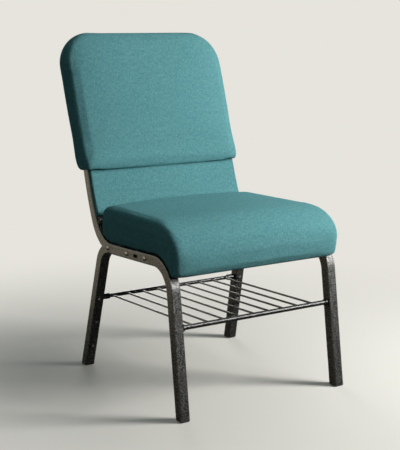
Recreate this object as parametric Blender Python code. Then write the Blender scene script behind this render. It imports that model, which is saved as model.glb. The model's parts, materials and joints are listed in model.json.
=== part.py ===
# Stacking conference chair: a welded square-tube frame with a book rack, a padded seat and a padded back.
# Metres and degrees, +Z up. The chair faces -Y, left is -X, and it stands on z = 0.
import math

import bmesh
import bpy
import numpy as np
from mathutils import Vector

for leftover in list(bpy.data.objects):
    bpy.data.objects.remove(leftover, do_unlink=True)

# Clearances
GAP = 0.0003  # between pieces that touch
SOFT_GAP = 0.0005  # between padding and the frame
FACET_SAG = 0.00015  # how far a facet of a bend may lie from the true arc

# Tube stock
TUBE = 0.025
TUBE_ROUND = 0.003
TUBE_WALL = 0.0015
CROSS_TUBE = 0.022
CROSS_TUBE_ROUND = 0.002

# Side frame, seen from the side
FOOT_BASE = 0.4615  # front foot to rear foot, at the floor
FRONT_CORNER_HEIGHT = 0.351  # where the lines of front leg and seat rail cross
FRONT_LEG_LEAN = 9.0
FRONT_BEND = 0.070
RAIL_DROP = 4.4  # the seat rail falls towards the back
RAIL_SHORTER = 0.247  # the straight seat rail against FOOT_BASE
REAR_BEND = 0.100
LOWER_BACK_LEAN = 27.0  # at the end of the tight rear bend
BACK_BEND = 0.600
UPRIGHT_LEAN = 18.8
UPRIGHT_RUN = 0.345
REAR_LEG_LEAN = 12.4
REAR_LEG_BEND = 0.052
REAR_LEG_TURN = 62.0
REAR_LEG_TAIL = 0.012

# Side frame, seen from the front: widths over the outer faces
FOOT_SPAN = 0.475
FRONT_SPAN = 0.472
REAR_SPAN = 0.448

# Floor glides
GLIDE_HEIGHT = 0.006
GLIDE_STEM = 0.018
GLIDE_CHAMFER = 0.0015

# Cross rails: places along the seat rail, and along the upright from the end of its bend
FRONT_CROSS_AT = 0.006
REAR_CROSS_PAST = 0.018  # past the straight seat rail
CROSS_END_PLATE = 0.004
LOWER_CROSS_AT = 0.012
UPPER_CROSS_AT = 0.300

# Bolts on the seat rail, and the open slot between them
FRONT_BOLT_AT = 0.042
GANGING_SLOT_AT = 0.0865
MIDDLE_BOLT_AT = 0.1327
BOLT_HEAD = 0.011
BOLT_HEAD_HEIGHT = 0.0035
BOLT_SHANK = 0.006
GANGING_SLOT = 0.022
GANGING_SLOT_HEIGHT = 0.008

# Seat brackets and screws
BRACKET_FRONT = 0.022
BRACKET_REAR = 0.156
BRACKET_STEEL = 0.003
BRACKET_WIDTH = 0.024
BRACKET_DROP = 0.021
SCREW_HEAD = 0.008
SCREW_HEAD_HEIGHT = 0.0024
SCREW_SHANK = 0.004
SCREW_BITE = 0.009
FRONT_SCREW_AT = 0.064
REAR_SCREW_AT = 0.112

# Seat
SEAT_BOARD = 0.012
SEAT_BOARD_INSET = 0.016  # from the outer faces of the rails
SEAT_BOARD_END = 0.004  # short of both ends of the straight rail
SEAT_COVER = 0.0008
SEAT_COVER_EDGE = 0.002
SEAT_RISE = 0.086  # front of the flat top, above the corner of front leg and seat rail
SEAT_FALL = 0.008  # lower at the rear
SEAT_CROWN = 0.007
SEAT_LONGER = 0.1635  # the cushion against the straight seat rail
SEAT_INSET = 0.002  # from the outer faces of the rails
SEAT_DRAW = 0.003  # how far the sides pull in between the corners
SEAT_EDGE = 0.015
SEAT_REAR_EDGE = 0.018
SEAT_CORNER_WIDE = 0.036  # front corners, across the seat
SEAT_CORNER_DEEP = 0.018  # front corners, front to back
SEAT_LOW_EDGE = 0.005
SEAT_LIP = 0.0275
SEAT_LIP_WRAP = 61.0  # degrees of the front bend that the lip covers
SEAT_LIP_EDGE = 0.011
SEAT_LIP_TUCK = 0.005
SEAT_FRONT_ROLL = 0.095  # front to back
SEAT_FRONT_FALL = 0.066  # top to bottom
SEAT_REAR_ROUND = 0.026
SEAT_REAR_WRAP = 35.0  # degrees of the rear bend under the seat
SEAT_REAR_TUCK = 0.012
SEAT_REAR_TURN = 35.0

# Upper back
SEAM_AT = 0.046  # along the upright, from the end of its bend to the lower edge of the cushion
BACK_CUSHION_HEIGHT = 0.352
BACK_SIDE_WRAP = 0.0125  # past the outer faces of the uprights at the seam
BACK_FRONT_PAD = 0.020
BACK_REAR_PAD_LOW = 0.012
BACK_REAR_PAD_HIGH = 0.020
BACK_CROWN = 0.012
BACK_REAR_CROWN = 0.004
BACK_TOP_CORNER = 0.090
BACK_LOW_CORNER = 0.022
BACK_EDGE = 0.025
BACK_LOW_EDGE = 0.012
BACK_SWELL = 0.004  # how far the sides swell between the corners
BACK_BOARD = 0.008
BACK_BOARD_LOW = 0.020
BACK_BOARD_HEIGHT = 0.262
BACK_BOARD_INSET = 0.004
BACK_SCREW_LOW = 0.045
BACK_SCREW_HIGH = 0.255

# Lower back panel
PANEL_DROP = 0.126  # from the seam down to the lower edge of the pad, along the tube
PANEL_PAD = 0.0135
PANEL_EDGE = 0.004
PANEL_CROWN = 0.002
PANEL_BOARD = 0.005
PANEL_BOARD_INSET = 0.005
PANEL_TAB = 0.0215
PANEL_TAB_WIDTH = 0.018
PANEL_SCREW_DROP = 0.0105  # below the pad

# Book rack
RACK_FRONT_HEIGHT = 0.2065
RACK_REAR_HEIGHT = 0.187
RACK_FRONT_RAIL = 0.012
RACK_REAR_RAIL = 0.010
RACK_WIRE = 0.005
RACK_WIRES = 9
RACK_WIRE_PITCH = 0.0435
RACK_COLLAR_WALL = 0.0022
RACK_FRONT_COLLAR = 0.006
RACK_REAR_COLLAR = 0.020
SET_SCREW_HEAD = 0.009
SET_SCREW_SHANK = 0.005
LEG_PLUG_HEAD = 0.008
LEG_PLUG_HEAD_HEIGHT = 0.0012
LEG_PLUG_SHANK = 0.006
LEG_PLUG_STEM = 0.003
LEG_PLUG_HEIGHTS = (0.123, 0.057)

# Fasteners: head diameter, head height, shank diameter
BOLT = (BOLT_HEAD, BOLT_HEAD_HEIGHT, BOLT_SHANK)
SCREW = (SCREW_HEAD, SCREW_HEAD_HEIGHT, SCREW_SHANK)
SET_SCREW = (SET_SCREW_HEAD, SCREW_HEAD_HEIGHT, SET_SCREW_SHANK)
LEG_PLUG = (LEG_PLUG_HEAD, LEG_PLUG_HEAD_HEIGHT, LEG_PLUG_SHANK)
BOLT_HOLE = BOLT_SHANK + 2 * GAP
SCREW_HOLE = SCREW_SHANK + 2 * GAP
# Dome of a head: share of its height, share of its diameter
HEAD_DOME = ((1.0, 0.18), (0.86, 0.34), (0.4, 0.47), (0.0, 0.5))

SIDES = (("left", -1), ("right", 1))
ROUND_SIDES = 12
SETTLE_ROUNDS = 40  # to find the height where the rear leg meets the side tube
EDGE_TURNS = (0, 30, 60, 90)  # degrees round the edge of a cushion
SEAT_SHARES = (-0.62, -0.25, 0.25, 0.62)  # of the half width
PANEL_SHARES = (-1.0, -0.6, -0.2, 0.2, 0.6, 1.0)
PANEL_STEPS = 9  # in the bend of the uprights
BACK_CROWN_ROWS = ((0.42, 1.0), (0.76, 0.6))  # share of the face's size, share of its crown

# Sizes that follow from others
seat_rail_run = FOOT_BASE - RAIL_SHORTER
rear_cross_at = seat_rail_run + REAR_CROSS_PAST
seat_height = FRONT_CORNER_HEIGHT + SEAT_RISE
seat_depth = seat_rail_run + SEAT_LONGER

chair = bpy.data.objects.new("chair", None)
bpy.context.scene.collection.objects.link(chair)


def finish(name, colour, roughness, metallic=0.0):
    made = bpy.data.materials.new(name)
    made.use_nodes = True
    shader = made.node_tree.nodes["Principled BSDF"]
    shader.inputs["Base Color"].default_value = (*colour, 1.0)
    shader.inputs["Roughness"].default_value = roughness
    shader.inputs["Metallic"].default_value = metallic
    return made


POWDER_COAT = finish("charcoal_powder_coat", (0.030, 0.030, 0.028), 0.45, 0.3)
ZINC = finish("zinc_plated_steel", (0.55, 0.54, 0.52), 0.35, 1.0)
BLACK_PLASTIC = finish("black_plastic", (0.012, 0.012, 0.012), 0.55)
TEAL_FABRIC = finish("teal_woven_fabric", (0.072, 0.235, 0.262), 0.9)
PLYWOOD = finish("plywood", (0.42, 0.29, 0.17), 0.7)
BLACK_CLOTH = finish("black_lining_cloth", (0.02, 0.02, 0.02), 0.95)


def solid(name, bm, material):
    bmesh.ops.recalc_face_normals(bm, faces=bm.faces)
    mesh = bpy.data.meshes.new(name)
    bm.to_mesh(mesh)
    bm.free()
    mesh.shade_smooth()
    mesh.set_sharp_from_angle(angle=math.radians(35))
    mesh.materials.append(material)
    made = bpy.data.objects.new(name, mesh)
    made.parent = chair
    bpy.context.scene.collection.objects.link(made)
    return made


def cut(target, bm):
    """Takes the shapes in bm away from the target."""
    tool = solid(target.name + "_cutter", bm, target.data.materials[0])
    tool.hide_render = True
    tool.display_type = "WIRE"
    boolean = target.modifiers.new("cut", "BOOLEAN")
    boolean.operation = "DIFFERENCE"
    boolean.solver = "EXACT"
    boolean.object = tool


def band(bm, near, far):
    """Quads between two rings of as many points."""
    for i in range(len(near)):
        after = (i + 1) % len(near)
        bm.faces.new((near[i], near[after], far[after], far[i]))


def skin(bm, rings):
    """A skin over rings of points. Gives its first and last ring, which stay open."""
    loops = [[bm.verts.new(point) for point in ring] for ring in rings]
    for near, far in zip(loops, loops[1:]):
        band(bm, near, far)
    return loops[0], loops[-1]


def loft_into(bm, rings):
    for loop in skin(bm, rings):
        bm.faces.new(loop)


def loft(name, rings, material):
    bm = bmesh.new()
    loft_into(bm, rings)
    return solid(name, bm, material)


def pipe(name, outer, inner, material):
    """A hollow piece, open at both ends."""
    bm = bmesh.new()
    first_outer, last_outer = skin(bm, outer)
    first_inner, last_inner = skin(bm, inner)
    band(bm, first_outer, first_inner)
    band(bm, last_outer, last_inner)
    return solid(name, bm, material)


def turned_rings(profile, base, axis):
    """Rings of a round piece: profile holds (distance along the axis, radius)."""
    axis = Vector(axis).normalized()
    across = axis.orthogonal().normalized()
    beside = axis.cross(across)
    turns = [math.tau * i / ROUND_SIDES for i in range(ROUND_SIDES)]
    return [
        [
            Vector(base) + axis * along + radius * (across * math.cos(a) + beside * math.sin(a))
            for a in turns
        ]
        for along, radius in profile
    ]


def drill(bm, base, axis, diameter, depth):
    loft_into(bm, turned_rings([(0, diameter / 2), (depth, diameter / 2)], base, axis))


def headed(name, base, axis, head, head_height, shank, length, material):
    """A screw or bolt: a domed head before the base point, and a shank after it."""
    profile = [(-head_height * up, head * out) for up, out in HEAD_DOME]
    profile += [(0, shank / 2), (length, shank / 2)]
    return loft(name, turned_rings(profile, base, axis), material)


def rounded_square(side, radius):
    corner = side / 2 - radius
    points = []
    for quarter in range(4):
        for step in range(3):
            angle = math.radians(90 * quarter + 45 * step)
            centre = math.radians(90 * quarter + 45)
            points.append(
                (
                    corner * math.copysign(1, math.cos(centre)) + radius * math.cos(angle),
                    corner * math.copysign(1, math.sin(centre)) + radius * math.sin(angle),
                )
            )
    return points


def arc(centre, radii, start, end, steps):
    """Points on part of an ellipse in the side view, both ends included."""
    angles = [math.radians(start + (end - start) * i / steps) for i in range(steps + 1)]
    return [
        (centre[0] + radii[0] * math.cos(a), centre[1] + radii[1] * math.sin(a)) for a in angles
    ]


# A path in the side view is a list of stations (y, z, heading in degrees), made of runs and bends.
def run(length):
    return (0.0, length)


def bend(radius, turn):
    return (radius, turn)


def trace(start, moves):
    y, z, heading = start
    stations = [start]
    for radius, amount in moves:
        if radius == 0.0:
            y += amount * math.cos(math.radians(heading))
            z += amount * math.sin(math.radians(heading))
            stations.append((y, z, heading))
            continue
        facet = 2 * math.degrees(math.acos(1 - FACET_SAG / radius))
        steps = max(2, math.ceil(abs(amount) / facet))
        swing = math.copysign(radius, amount)
        for _ in range(steps):
            after = heading + amount / steps
            y += swing * (math.sin(math.radians(after)) - math.sin(math.radians(heading)))
            z -= swing * (math.cos(math.radians(after)) - math.cos(math.radians(heading)))
            heading = after
            stations.append((y, z, heading))
    return stations


def move_length(move):
    radius, amount = move
    return amount if radius == 0.0 else radius * math.radians(abs(amount))


def station_along(start, moves, distance):
    """The station this far along a path. The last move goes on as far as needed."""
    passed = []
    for move in moves[:-1]:
        length = move_length(move)
        if distance <= length:
            break
        passed.append(move)
        distance -= length
    radius, amount = moves[len(passed)]
    if radius == 0.0:
        part_way = run(distance)
    else:
        part_way = bend(radius, math.copysign(math.degrees(distance / radius), amount))
    return trace(start, [*passed, part_way])[-1]


def offset(station, distance):
    """The point beside a station, towards the front of the leg or the top of the rail."""
    y, z, heading = station
    return (
        y - distance * math.sin(math.radians(heading)),
        z + distance * math.cos(math.radians(heading)),
    )


# The side tube runs from the front foot up the leg, back along the seat and up the back.
front_turn = 90 - FRONT_LEG_LEAN + RAIL_DROP
front_tangent = FRONT_BEND * math.tan(math.radians(front_turn / 2))
front_foot = (-FOOT_BASE / 2, 0.0, 90 - FRONT_LEG_LEAN)
front_leg_length = FRONT_CORNER_HEIGHT / math.cos(math.radians(FRONT_LEG_LEAN))
to_rail = [run(front_leg_length - front_tangent), bend(FRONT_BEND, -front_turn)]
rail_start = trace(front_foot, to_rail)[-1]
rear_bends = [
    bend(REAR_BEND, 90 - LOWER_BACK_LEAN + RAIL_DROP),
    bend(BACK_BEND, LOWER_BACK_LEAN - UPRIGHT_LEAN),
]
above_rail = [run(seat_rail_run), *rear_bends, run(UPRIGHT_RUN)]
rail_to_upright = sum(move_length(move) for move in above_rail[:-1])
side_path = trace(front_foot, [*to_rail, *above_rail])
front_corner = (
    front_foot[0] + FRONT_CORNER_HEIGHT * math.tan(math.radians(FRONT_LEG_LEAN)),
    FRONT_CORNER_HEIGHT,
)
rear_corner = trace(rail_start, above_rail[:1])[-1][:2]

# Each side tube lies flat in one plane, set by the three widths.
side_base, side_per_y, side_per_z = np.linalg.solve(
    [[1, front_foot[0], 0], [1, *front_corner], [1, *rear_corner]],
    [FOOT_SPAN / 2, FRONT_SPAN / 2, REAR_SPAN / 2],
)


def side_x(y, z):
    """Half the width over the outer faces of the side tubes."""
    return side_base + side_per_y * y + side_per_z * z


def rail_at(distance):
    """The station this far back along the seat rail, and on into the rear bend."""
    return station_along(rail_start, above_rail, distance)


def upright_at(distance):
    """The station this far up the straight upright, or down into the bends if the distance is negative."""
    return station_along(rail_start, above_rail, rail_to_upright + distance)


def section_ring(station, section, x_at, side):
    ring = []
    for across, forward in section:
        y, z = offset(station, forward)
        ring.append(Vector((side * (x_at(y, z) - TUBE / 2 + across), y, z)))
    return ring


def level_ring(station, section, x_at, side):
    """A ring cut parallel to the floor."""
    y, z, heading = station
    stretch = 1 / math.sin(math.radians(heading))
    ring = []
    for across, forward in section:
        y_here = y - forward * stretch
        ring.append(Vector((side * (x_at(y_here, z) - TUBE / 2 + across), y_here, z)))
    return ring


def leg_station(foot, height):
    """The station on a straight leg at this height above the floor."""
    y, z, heading = foot
    return (y + height / math.tan(math.radians(heading)), height, heading)


outer_section = rounded_square(TUBE, TUBE_ROUND)
inner_section = rounded_square(TUBE - 2 * TUBE_WALL, TUBE_ROUND - TUBE_WALL)


def bent_tube(name, path, x_at, side):
    """A square tube along a path that starts at the foot, cut level where it stands on its glide."""
    foot = leg_station(path[0], GLIDE_HEIGHT)
    walls = [
        [level_ring(foot, section, x_at, side)]
        + [section_ring(station, section, x_at, side) for station in path[1:]]
        for section in (outer_section, inner_section)
    ]
    return pipe(name, *walls, POWDER_COAT)


# The rear leg bends forward at its top, and its end is coped to the side tube.
rear_foot = (FOOT_BASE / 2, 0.0, 90 + REAR_LEG_LEAN)
rear_top_moves = [bend(REAR_LEG_BEND, REAR_LEG_TURN), run(REAR_LEG_TAIL)]
rear_seat_path = trace(rail_start, above_rail[:2])


def tube_height(y):
    """Height of the side tube's centre line above a point under the seat."""
    ys = [station[0] for station in rear_seat_path]
    zs = [station[1] for station in rear_seat_path]
    return float(np.interp(y, ys, zs))


rear_bend_height = FRONT_CORNER_HEIGHT
for _ in range(SETTLE_ROUNDS):
    top = trace(leg_station(rear_foot, rear_bend_height), rear_top_moves)[-1]
    rear_bend_height += tube_height(top[0]) - top[1]
rear_leg_path = [rear_foot, *trace(leg_station(rear_foot, rear_bend_height), rear_top_moves)]
rear_leg_top = rear_leg_path[-1]
rear_splay = (FOOT_SPAN / 2 - side_x(*rear_leg_top[:2])) / rear_leg_top[1]


def rear_leg_x(y, z):
    """Half the width over the outer faces of the rear legs, which come in towards the side tubes."""
    return FOOT_SPAN / 2 - rear_splay * z


front_rack_station = leg_station(front_foot, RACK_FRONT_HEIGHT)
rear_rack_station = leg_station(rear_foot, RACK_REAR_HEIGHT)


def across_hole(bm, station, side, x_at, start, length, diameter):
    """A hole along X, from this far inside the outer face, inwards."""
    y, z, _ = station
    drill(bm, (side * (x_at(y, z) - start), y, z), (-side, 0, 0), diameter, length)


def front_place(station, side, x_at, ahead):
    """The point this far ahead of a tube's front face, on its middle line, and the way into the tube."""
    x = side * (x_at(*offset(station, TUBE / 2)) - TUBE / 2)
    inward = Vector((0, *offset((0, 0, station[2]), -1)))
    return Vector((x, *offset(station, TUBE / 2 + ahead))), inward


def front_hole(bm, station, side, x_at, diameter, depth):
    """A hole into the front face of a tube and what lies on it."""
    drill(bm, *front_place(station, side, x_at, depth), diameter, 2 * depth)


def rail_slot(bm, station, side):
    """A round-ended slot through the outer wall of a seat rail, along the rail."""
    y, z, heading = station
    end = GANGING_SLOT_HEIGHT / 2
    reach = GANGING_SLOT / 2 - end
    section = arc((reach, 0), (end, end), -90, 90, ROUND_SIDES // 2)
    section += arc((-reach, 0), (end, end), 90, 270, ROUND_SIDES // 2)
    rings = []
    for inset in (-TUBE_WALL, 2 * TUBE_WALL):
        ring = []
        for along, up in section:
            y_here, z_here = offset((*offset((y, z, heading - 90), along), heading), up)
            ring.append(Vector((side * (side_x(y_here, z_here) - inset), y_here, z_here)))
        rings.append(ring)
    loft_into(bm, rings)


def make_side_tube(word, side):
    tube = bent_tube(word + "_side_tube", side_path, side_x, side)
    holes = bmesh.new()
    through = TUBE + 2 * TUBE_WALL
    for distance in (FRONT_BOLT_AT, MIDDLE_BOLT_AT, rear_cross_at):
        across_hole(holes, rail_at(distance), side, side_x, -TUBE_WALL, through, BOLT_HOLE)
    rail_slot(holes, rail_at(GANGING_SLOT_AT), side)
    rack_hole = RACK_FRONT_RAIL + 2 * GAP
    across_hole(holes, front_rack_station, side, side_x, TUBE / 2, TUBE, rack_hole)
    for distance in (panel_screw_at, SEAM_AT + BACK_SCREW_LOW, SEAM_AT + BACK_SCREW_HIGH):
        front_hole(holes, upright_at(distance), side, side_x, SCREW_HOLE, 2 * TUBE_WALL)
    cut(tube, holes)


def make_rear_leg(word, side):
    leg = bent_tube(word + "_rear_leg", rear_leg_path, rear_leg_x, side)
    saddle = bmesh.new()
    saddle_section = rounded_square(TUBE + 2 * GAP, TUBE_ROUND)
    wide = [(across * 2, forward) for across, forward in saddle_section]
    loft_into(saddle, [section_ring(station, wide, side_x, side) for station in rear_seat_path])
    cut(leg, saddle)
    holes = bmesh.new()
    rack_hole = RACK_REAR_RAIL + 2 * GAP
    across_hole(holes, rear_rack_station, side, rear_leg_x, TUBE / 2, TUBE, rack_hole)
    small_holes = [(RACK_REAR_HEIGHT, SET_SCREW_SHANK)]
    small_holes += [(height, LEG_PLUG_SHANK) for height in LEG_PLUG_HEIGHTS]
    for height, diameter in small_holes:
        station = leg_station(rear_foot, height)
        front_hole(holes, station, side, rear_leg_x, diameter + 2 * GAP, 2 * TUBE_WALL)
    cut(leg, holes)


def make_glide(name, foot, x_at, side):
    stem = TUBE - 2 * TUBE_WALL - 2 * GAP
    stem_round = TUBE_ROUND - TUBE_WALL
    levels = [
        (0.0, TUBE - 2 * GLIDE_CHAMFER, TUBE_ROUND),
        (GLIDE_CHAMFER, TUBE, TUBE_ROUND),
        (GLIDE_HEIGHT - GAP, TUBE, TUBE_ROUND),
        (GLIDE_HEIGHT - GAP, stem, stem_round),
        (GLIDE_HEIGHT + GLIDE_STEM, stem, stem_round),
    ]
    rings = [
        level_ring(leg_station(foot, height), rounded_square(width, radius), x_at, side)
        for height, width, radius in levels
    ]
    loft(name, rings, BLACK_PLASTIC)


def cross_ring(station, section, side):
    """A ring that lies against the inner face of a side tube."""
    ring = []
    for along, forward in section:
        y, z, heading = station
        y, z = offset((*(offset((y, z, heading - 90), along)), heading), forward)
        ring.append(Vector((side * (side_x(y, z) - TUBE - GAP), y, z)))
    return ring


def make_cross_rail(name, station):
    walls = [
        [cross_ring(station, rounded_square(width, radius), side) for _, side in SIDES]
        for width, radius in (
            (CROSS_TUBE, CROSS_TUBE_ROUND),
            (CROSS_TUBE - 2 * TUBE_WALL, CROSS_TUBE_ROUND - TUBE_WALL),
        )
    ]
    pipe(name, *walls, POWDER_COAT)


def make_bolted_cross_rail(name, station):
    """A cross rail with an end plate at each end, tapped for the bolt through the side tube."""
    section = rounded_square(CROSS_TUBE, CROSS_TUBE_ROUND)
    rail = loft(name, [cross_ring(station, section, side) for _, side in SIDES], POWDER_COAT)
    inside = bmesh.new()
    bore = rounded_square(CROSS_TUBE - 2 * TUBE_WALL, CROSS_TUBE_ROUND - TUBE_WALL)
    ends = [cross_ring(station, bore, side) for _, side in SIDES]
    for (_, side), ring in zip(SIDES, ends):
        for point in ring:
            point.x -= side * CROSS_END_PLATE
    loft_into(inside, ends)
    cut(rail, inside)
    taps = bmesh.new()
    for _, side in SIDES:
        across_hole(taps, station, side, side_x, TUBE / 2, TUBE / 2 + 2 * CROSS_END_PLATE, BOLT_HOLE)
    cut(rail, taps)


# The seat hangs together along the straight rail: distances along it, and heights square to it.
bracket_top = TUBE / 2
seat_board_bottom = TUBE / 2 + GAP


def bracket_x(y, z):
    """Half the width over the outer faces of the seat brackets."""
    return side_x(y, z) - TUBE - GAP


def make_bracket(word, side):
    profile = [
        (0, bracket_top),
        (BRACKET_WIDTH, bracket_top),
        (BRACKET_WIDTH, bracket_top - BRACKET_STEEL),
        (BRACKET_STEEL, bracket_top - BRACKET_STEEL),
        (BRACKET_STEEL, bracket_top - BRACKET_DROP),
        (0, bracket_top - BRACKET_DROP),
    ]
    rings = []
    for distance in (BRACKET_FRONT, BRACKET_REAR):
        ring = []
        for inwards, height in profile:
            y, z = offset(rail_at(distance), height)
            ring.append(Vector((side * (bracket_x(y, z) - inwards), y, z)))
        rings.append(ring)
    bracket = loft(word + "_seat_bracket", rings, POWDER_COAT)
    holes = bmesh.new()
    for distance in (FRONT_BOLT_AT, MIDDLE_BOLT_AT):
        start, length = -BRACKET_STEEL, 3 * BRACKET_STEEL
        across_hole(holes, rail_at(distance), side, bracket_x, start, length, BOLT_HOLE)
    for distance in (FRONT_SCREW_AT, REAR_SCREW_AT):
        base, up = seat_screw_place(distance, side)
        drill(holes, base - up * BRACKET_STEEL, up, SCREW_HOLE, 3 * BRACKET_STEEL)
    cut(bracket, holes)


def seat_screw_place(distance, side):
    """Where a seat screw's head meets the bracket, and the way it points."""
    station = rail_at(distance)
    y, z = offset(station, bracket_top - BRACKET_STEEL)
    x = bracket_x(y, z) - (BRACKET_WIDTH + BRACKET_STEEL) / 2
    return Vector((side * x, y, z)), Vector((0, *offset((0, 0, station[2]), 1)))


def board_rings(front, rear, low, high, inset):
    """A plate along the straight rail, its sides this far inside the outer faces of the rails."""
    rings = []
    for distance in (front, rear):
        ring = []
        for side, height in ((-1, low), (1, low), (1, high), (-1, high)):
            y, z = offset(rail_at(distance), height)
            ring.append(Vector((side * (side_x(y, z) - inset), y, z)))
        rings.append(ring)
    return rings


def make_seat_board():
    top = seat_board_bottom + SEAT_BOARD
    ends = (SEAT_BOARD_END, seat_rail_run - SEAT_BOARD_END)
    board = loft("seat_board", board_rings(*ends, seat_board_bottom, top, SEAT_BOARD_INSET), PLYWOOD)
    pilots = bmesh.new()
    for _, side in SIDES:
        for distance in (FRONT_SCREW_AT, REAR_SCREW_AT):
            base, up = seat_screw_place(distance, side)
            drill(pilots, base, up, SCREW_HOLE, BRACKET_STEEL + SCREW_BITE + 3 * GAP)
    cut(board, pilots)


def make_seat_cover():
    top = seat_board_bottom - GAP
    inset = TUBE + GAP + BRACKET_WIDTH + SEAT_COVER_EDGE
    ends = (SEAT_BOARD_END, seat_rail_run - SEAT_BOARD_END)
    loft("seat_underside_cover", board_rings(*ends, top - SEAT_COVER, top, inset), BLACK_CLOTH)


def seat_outline():
    """The seat cushion from the side, from the back of its lip: y, z and the radii of its side edge."""
    outside = TUBE / 2 + SOFT_GAP
    lip_back = trace(front_foot, [*to_rail[:1], bend(FRONT_BEND, SEAT_LIP_WRAP - front_turn)])[-1]
    start = (*offset(lip_back, outside), lip_back[2])
    underside = trace(
        start,
        [
            bend(FRONT_BEND + outside, -SEAT_LIP_WRAP),
            run(seat_rail_run),
            bend(REAR_BEND - outside, SEAT_REAR_WRAP),
        ],
    )
    front = start[0] - SEAT_LIP
    rear = front + seat_depth
    lip_bottom = start[1]
    rear_bottom = underside[-1]
    rear_tuck = (rear - rear_bottom[0], SEAT_REAR_TUCK)
    round_rear = (SEAT_REAR_ROUND, SEAT_REAR_ROUND)
    rear_top = seat_height - SEAT_FALL
    back = arc((rear_bottom[0], rear_bottom[1] + SEAT_REAR_TUCK), rear_tuck, -SEAT_REAR_TURN, 0, 2)
    back += arc((rear - SEAT_REAR_ROUND, rear_top - SEAT_REAR_ROUND), round_rear, 0, 90, 4)
    roll = (SEAT_FRONT_ROLL, SEAT_FRONT_FALL)
    roll_centre = (front + SEAT_FRONT_ROLL, seat_height - SEAT_FRONT_FALL)
    flat = roll_centre[0] - back[-1][0]
    top = [(back[-1][0] + flat * i / 5, rear_top + SEAT_FALL * i / 5) for i in range(1, 5)]
    front_roll = arc(roll_centre, roll, 90, 180, 7)
    lip_corner = (front + SEAT_LIP_TUCK + SEAT_LIP_EDGE, lip_bottom + SEAT_LIP_EDGE)
    lip = arc(lip_corner, (SEAT_LIP_EDGE, SEAT_LIP_EDGE), 190, 270, 3)
    outline = [(y, z, (SEAT_LOW_EDGE, SEAT_LOW_EDGE, SEAT_LOW_EDGE)) for y, z, _ in underside]
    outline += [(y, z, (SEAT_REAR_EDGE, SEAT_REAR_EDGE, SEAT_REAR_EDGE)) for y, z in back]
    outline += [(y, z, (SEAT_EDGE, SEAT_EDGE, SEAT_EDGE)) for y, z in top]
    for i, (y, z) in enumerate(front_roll):
        share = i / (len(front_roll) - 1)
        wide = SEAT_EDGE + (SEAT_CORNER_WIDE - SEAT_EDGE) * share
        deep = SEAT_EDGE + (SEAT_CORNER_DEEP - SEAT_EDGE) * share
        outline.append((y, z, (wide, deep, SEAT_EDGE)))
    outline += [(y, z, (SEAT_CORNER_WIDE, SEAT_CORNER_DEEP, SEAT_LIP_EDGE)) for y, z in lip]
    return outline


def outward_normals(points):
    normals = []
    for before, after in zip(points[-1:] + points[:-1], points[1:] + points[:1]):
        along = (after[0] - before[0], after[1] - before[1])
        length = math.hypot(*along)
        normals.append((along[1] / length, -along[0] / length))
    return normals


def make_seat_cushion():
    outline = seat_outline()
    normals = outward_normals(outline)
    front = min(point[0] for point in outline)
    stations = [(-1.0, turn) for turn in reversed(EDGE_TURNS)]
    stations += [(share, 0) for share in SEAT_SHARES]
    stations += [(1.0, turn) for turn in EDGE_TURNS]
    rings = []
    for share, turn in stations:
        inset = 1 - math.cos(math.radians(turn))
        outset = math.sin(math.radians(turn))
        ring = []
        for (y, z, (wide, deep, tall)), (out_y, out_z) in zip(outline, normals):
            along = 2 * (y - front) / seat_depth - 1
            half = side_x(y, rail_start[1]) - SEAT_INSET - SEAT_DRAW * (1 - along * along)
            swell = SEAT_CROWN * (1 - share * share) * max(0.0, out_z)
            x = share * (half - wide + wide * outset)
            y_here = y + out_y * (swell - deep * inset)
            z_here = z + out_z * (swell - tall * inset)
            ring.append(Vector((x, y_here, z_here)))
        rings.append(ring)
    cushion = loft("seat_cushion", rings, TEAL_FABRIC)
    pocket = bmesh.new()
    ends = (SEAT_BOARD_END - SOFT_GAP, seat_rail_run - SEAT_BOARD_END + SOFT_GAP)
    top = seat_board_bottom + SEAT_BOARD + SOFT_GAP
    loft_into(pocket, board_rings(*ends, 0, top, SEAT_BOARD_INSET - SOFT_GAP))
    cut(cushion, pocket)


# The back is set out on the upright: x, forward of the tube's centre line, and up from the seam.
seam_station = upright_at(SEAM_AT)


def on_back(x, forward, up):
    y, z = offset(upright_at(SEAM_AT + up), forward)
    return Vector((x, y, z))


back_half = side_x(*seam_station[:2]) + BACK_SIDE_WRAP
back_board_back = TUBE / 2 + GAP
back_board_front = back_board_back + BACK_BOARD


def back_outline():
    """The upper cushion from the front, as (x, up, edge radius), anticlockwise from its lower left."""
    height = BACK_CUSHION_HEIGHT
    low, top = BACK_LOW_CORNER, BACK_TOP_CORNER
    width = 2 * (back_half - low)
    bottom = [(width * (i / 6 - 0.5), 0, BACK_LOW_EDGE) for i in range(1, 6)]
    corners = [
        ((back_half - low, low), low, -90, 3),
        ((back_half - top, height - top), top, 0, 6),
        ((-back_half + top, height - top), top, 90, 6),
        ((-back_half + low, low), low, 180, 3),
    ]
    straight = height - low - top
    outline = bottom
    for number, (centre, radius, start, steps) in enumerate(corners):
        edge = BACK_LOW_EDGE if number in (0, 3) else BACK_EDGE
        outline += [(x, up, edge) for x, up in arc(centre, (radius, radius), start, start + 90, steps)]
        if number == 0:
            outline += [(back_half, low + straight * i / 4, BACK_EDGE) for i in range(1, 4)]
        if number == 1:
            outline += [((back_half - top) * (1 - i / 2), height, BACK_EDGE) for i in range(1, 4)]
        if number == 2:
            outline += [(-back_half, height - top - straight * i / 4, BACK_EDGE) for i in range(1, 4)]
    return outline


def back_slot(start, end, depths, heights):
    """A block for cutting the back, from one (side, inset from the outer face) to another."""
    rings = []
    for up in heights:
        ring = []
        for forward, (side, inset) in zip(depths + depths[::-1], (start, start, end, end)):
            point = on_back(0, forward, up)
            point.x = side * (side_x(point.y, point.z) - inset)
            ring.append(point)
        rings.append(ring)
    block = bmesh.new()
    loft_into(block, rings)
    return block


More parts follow.
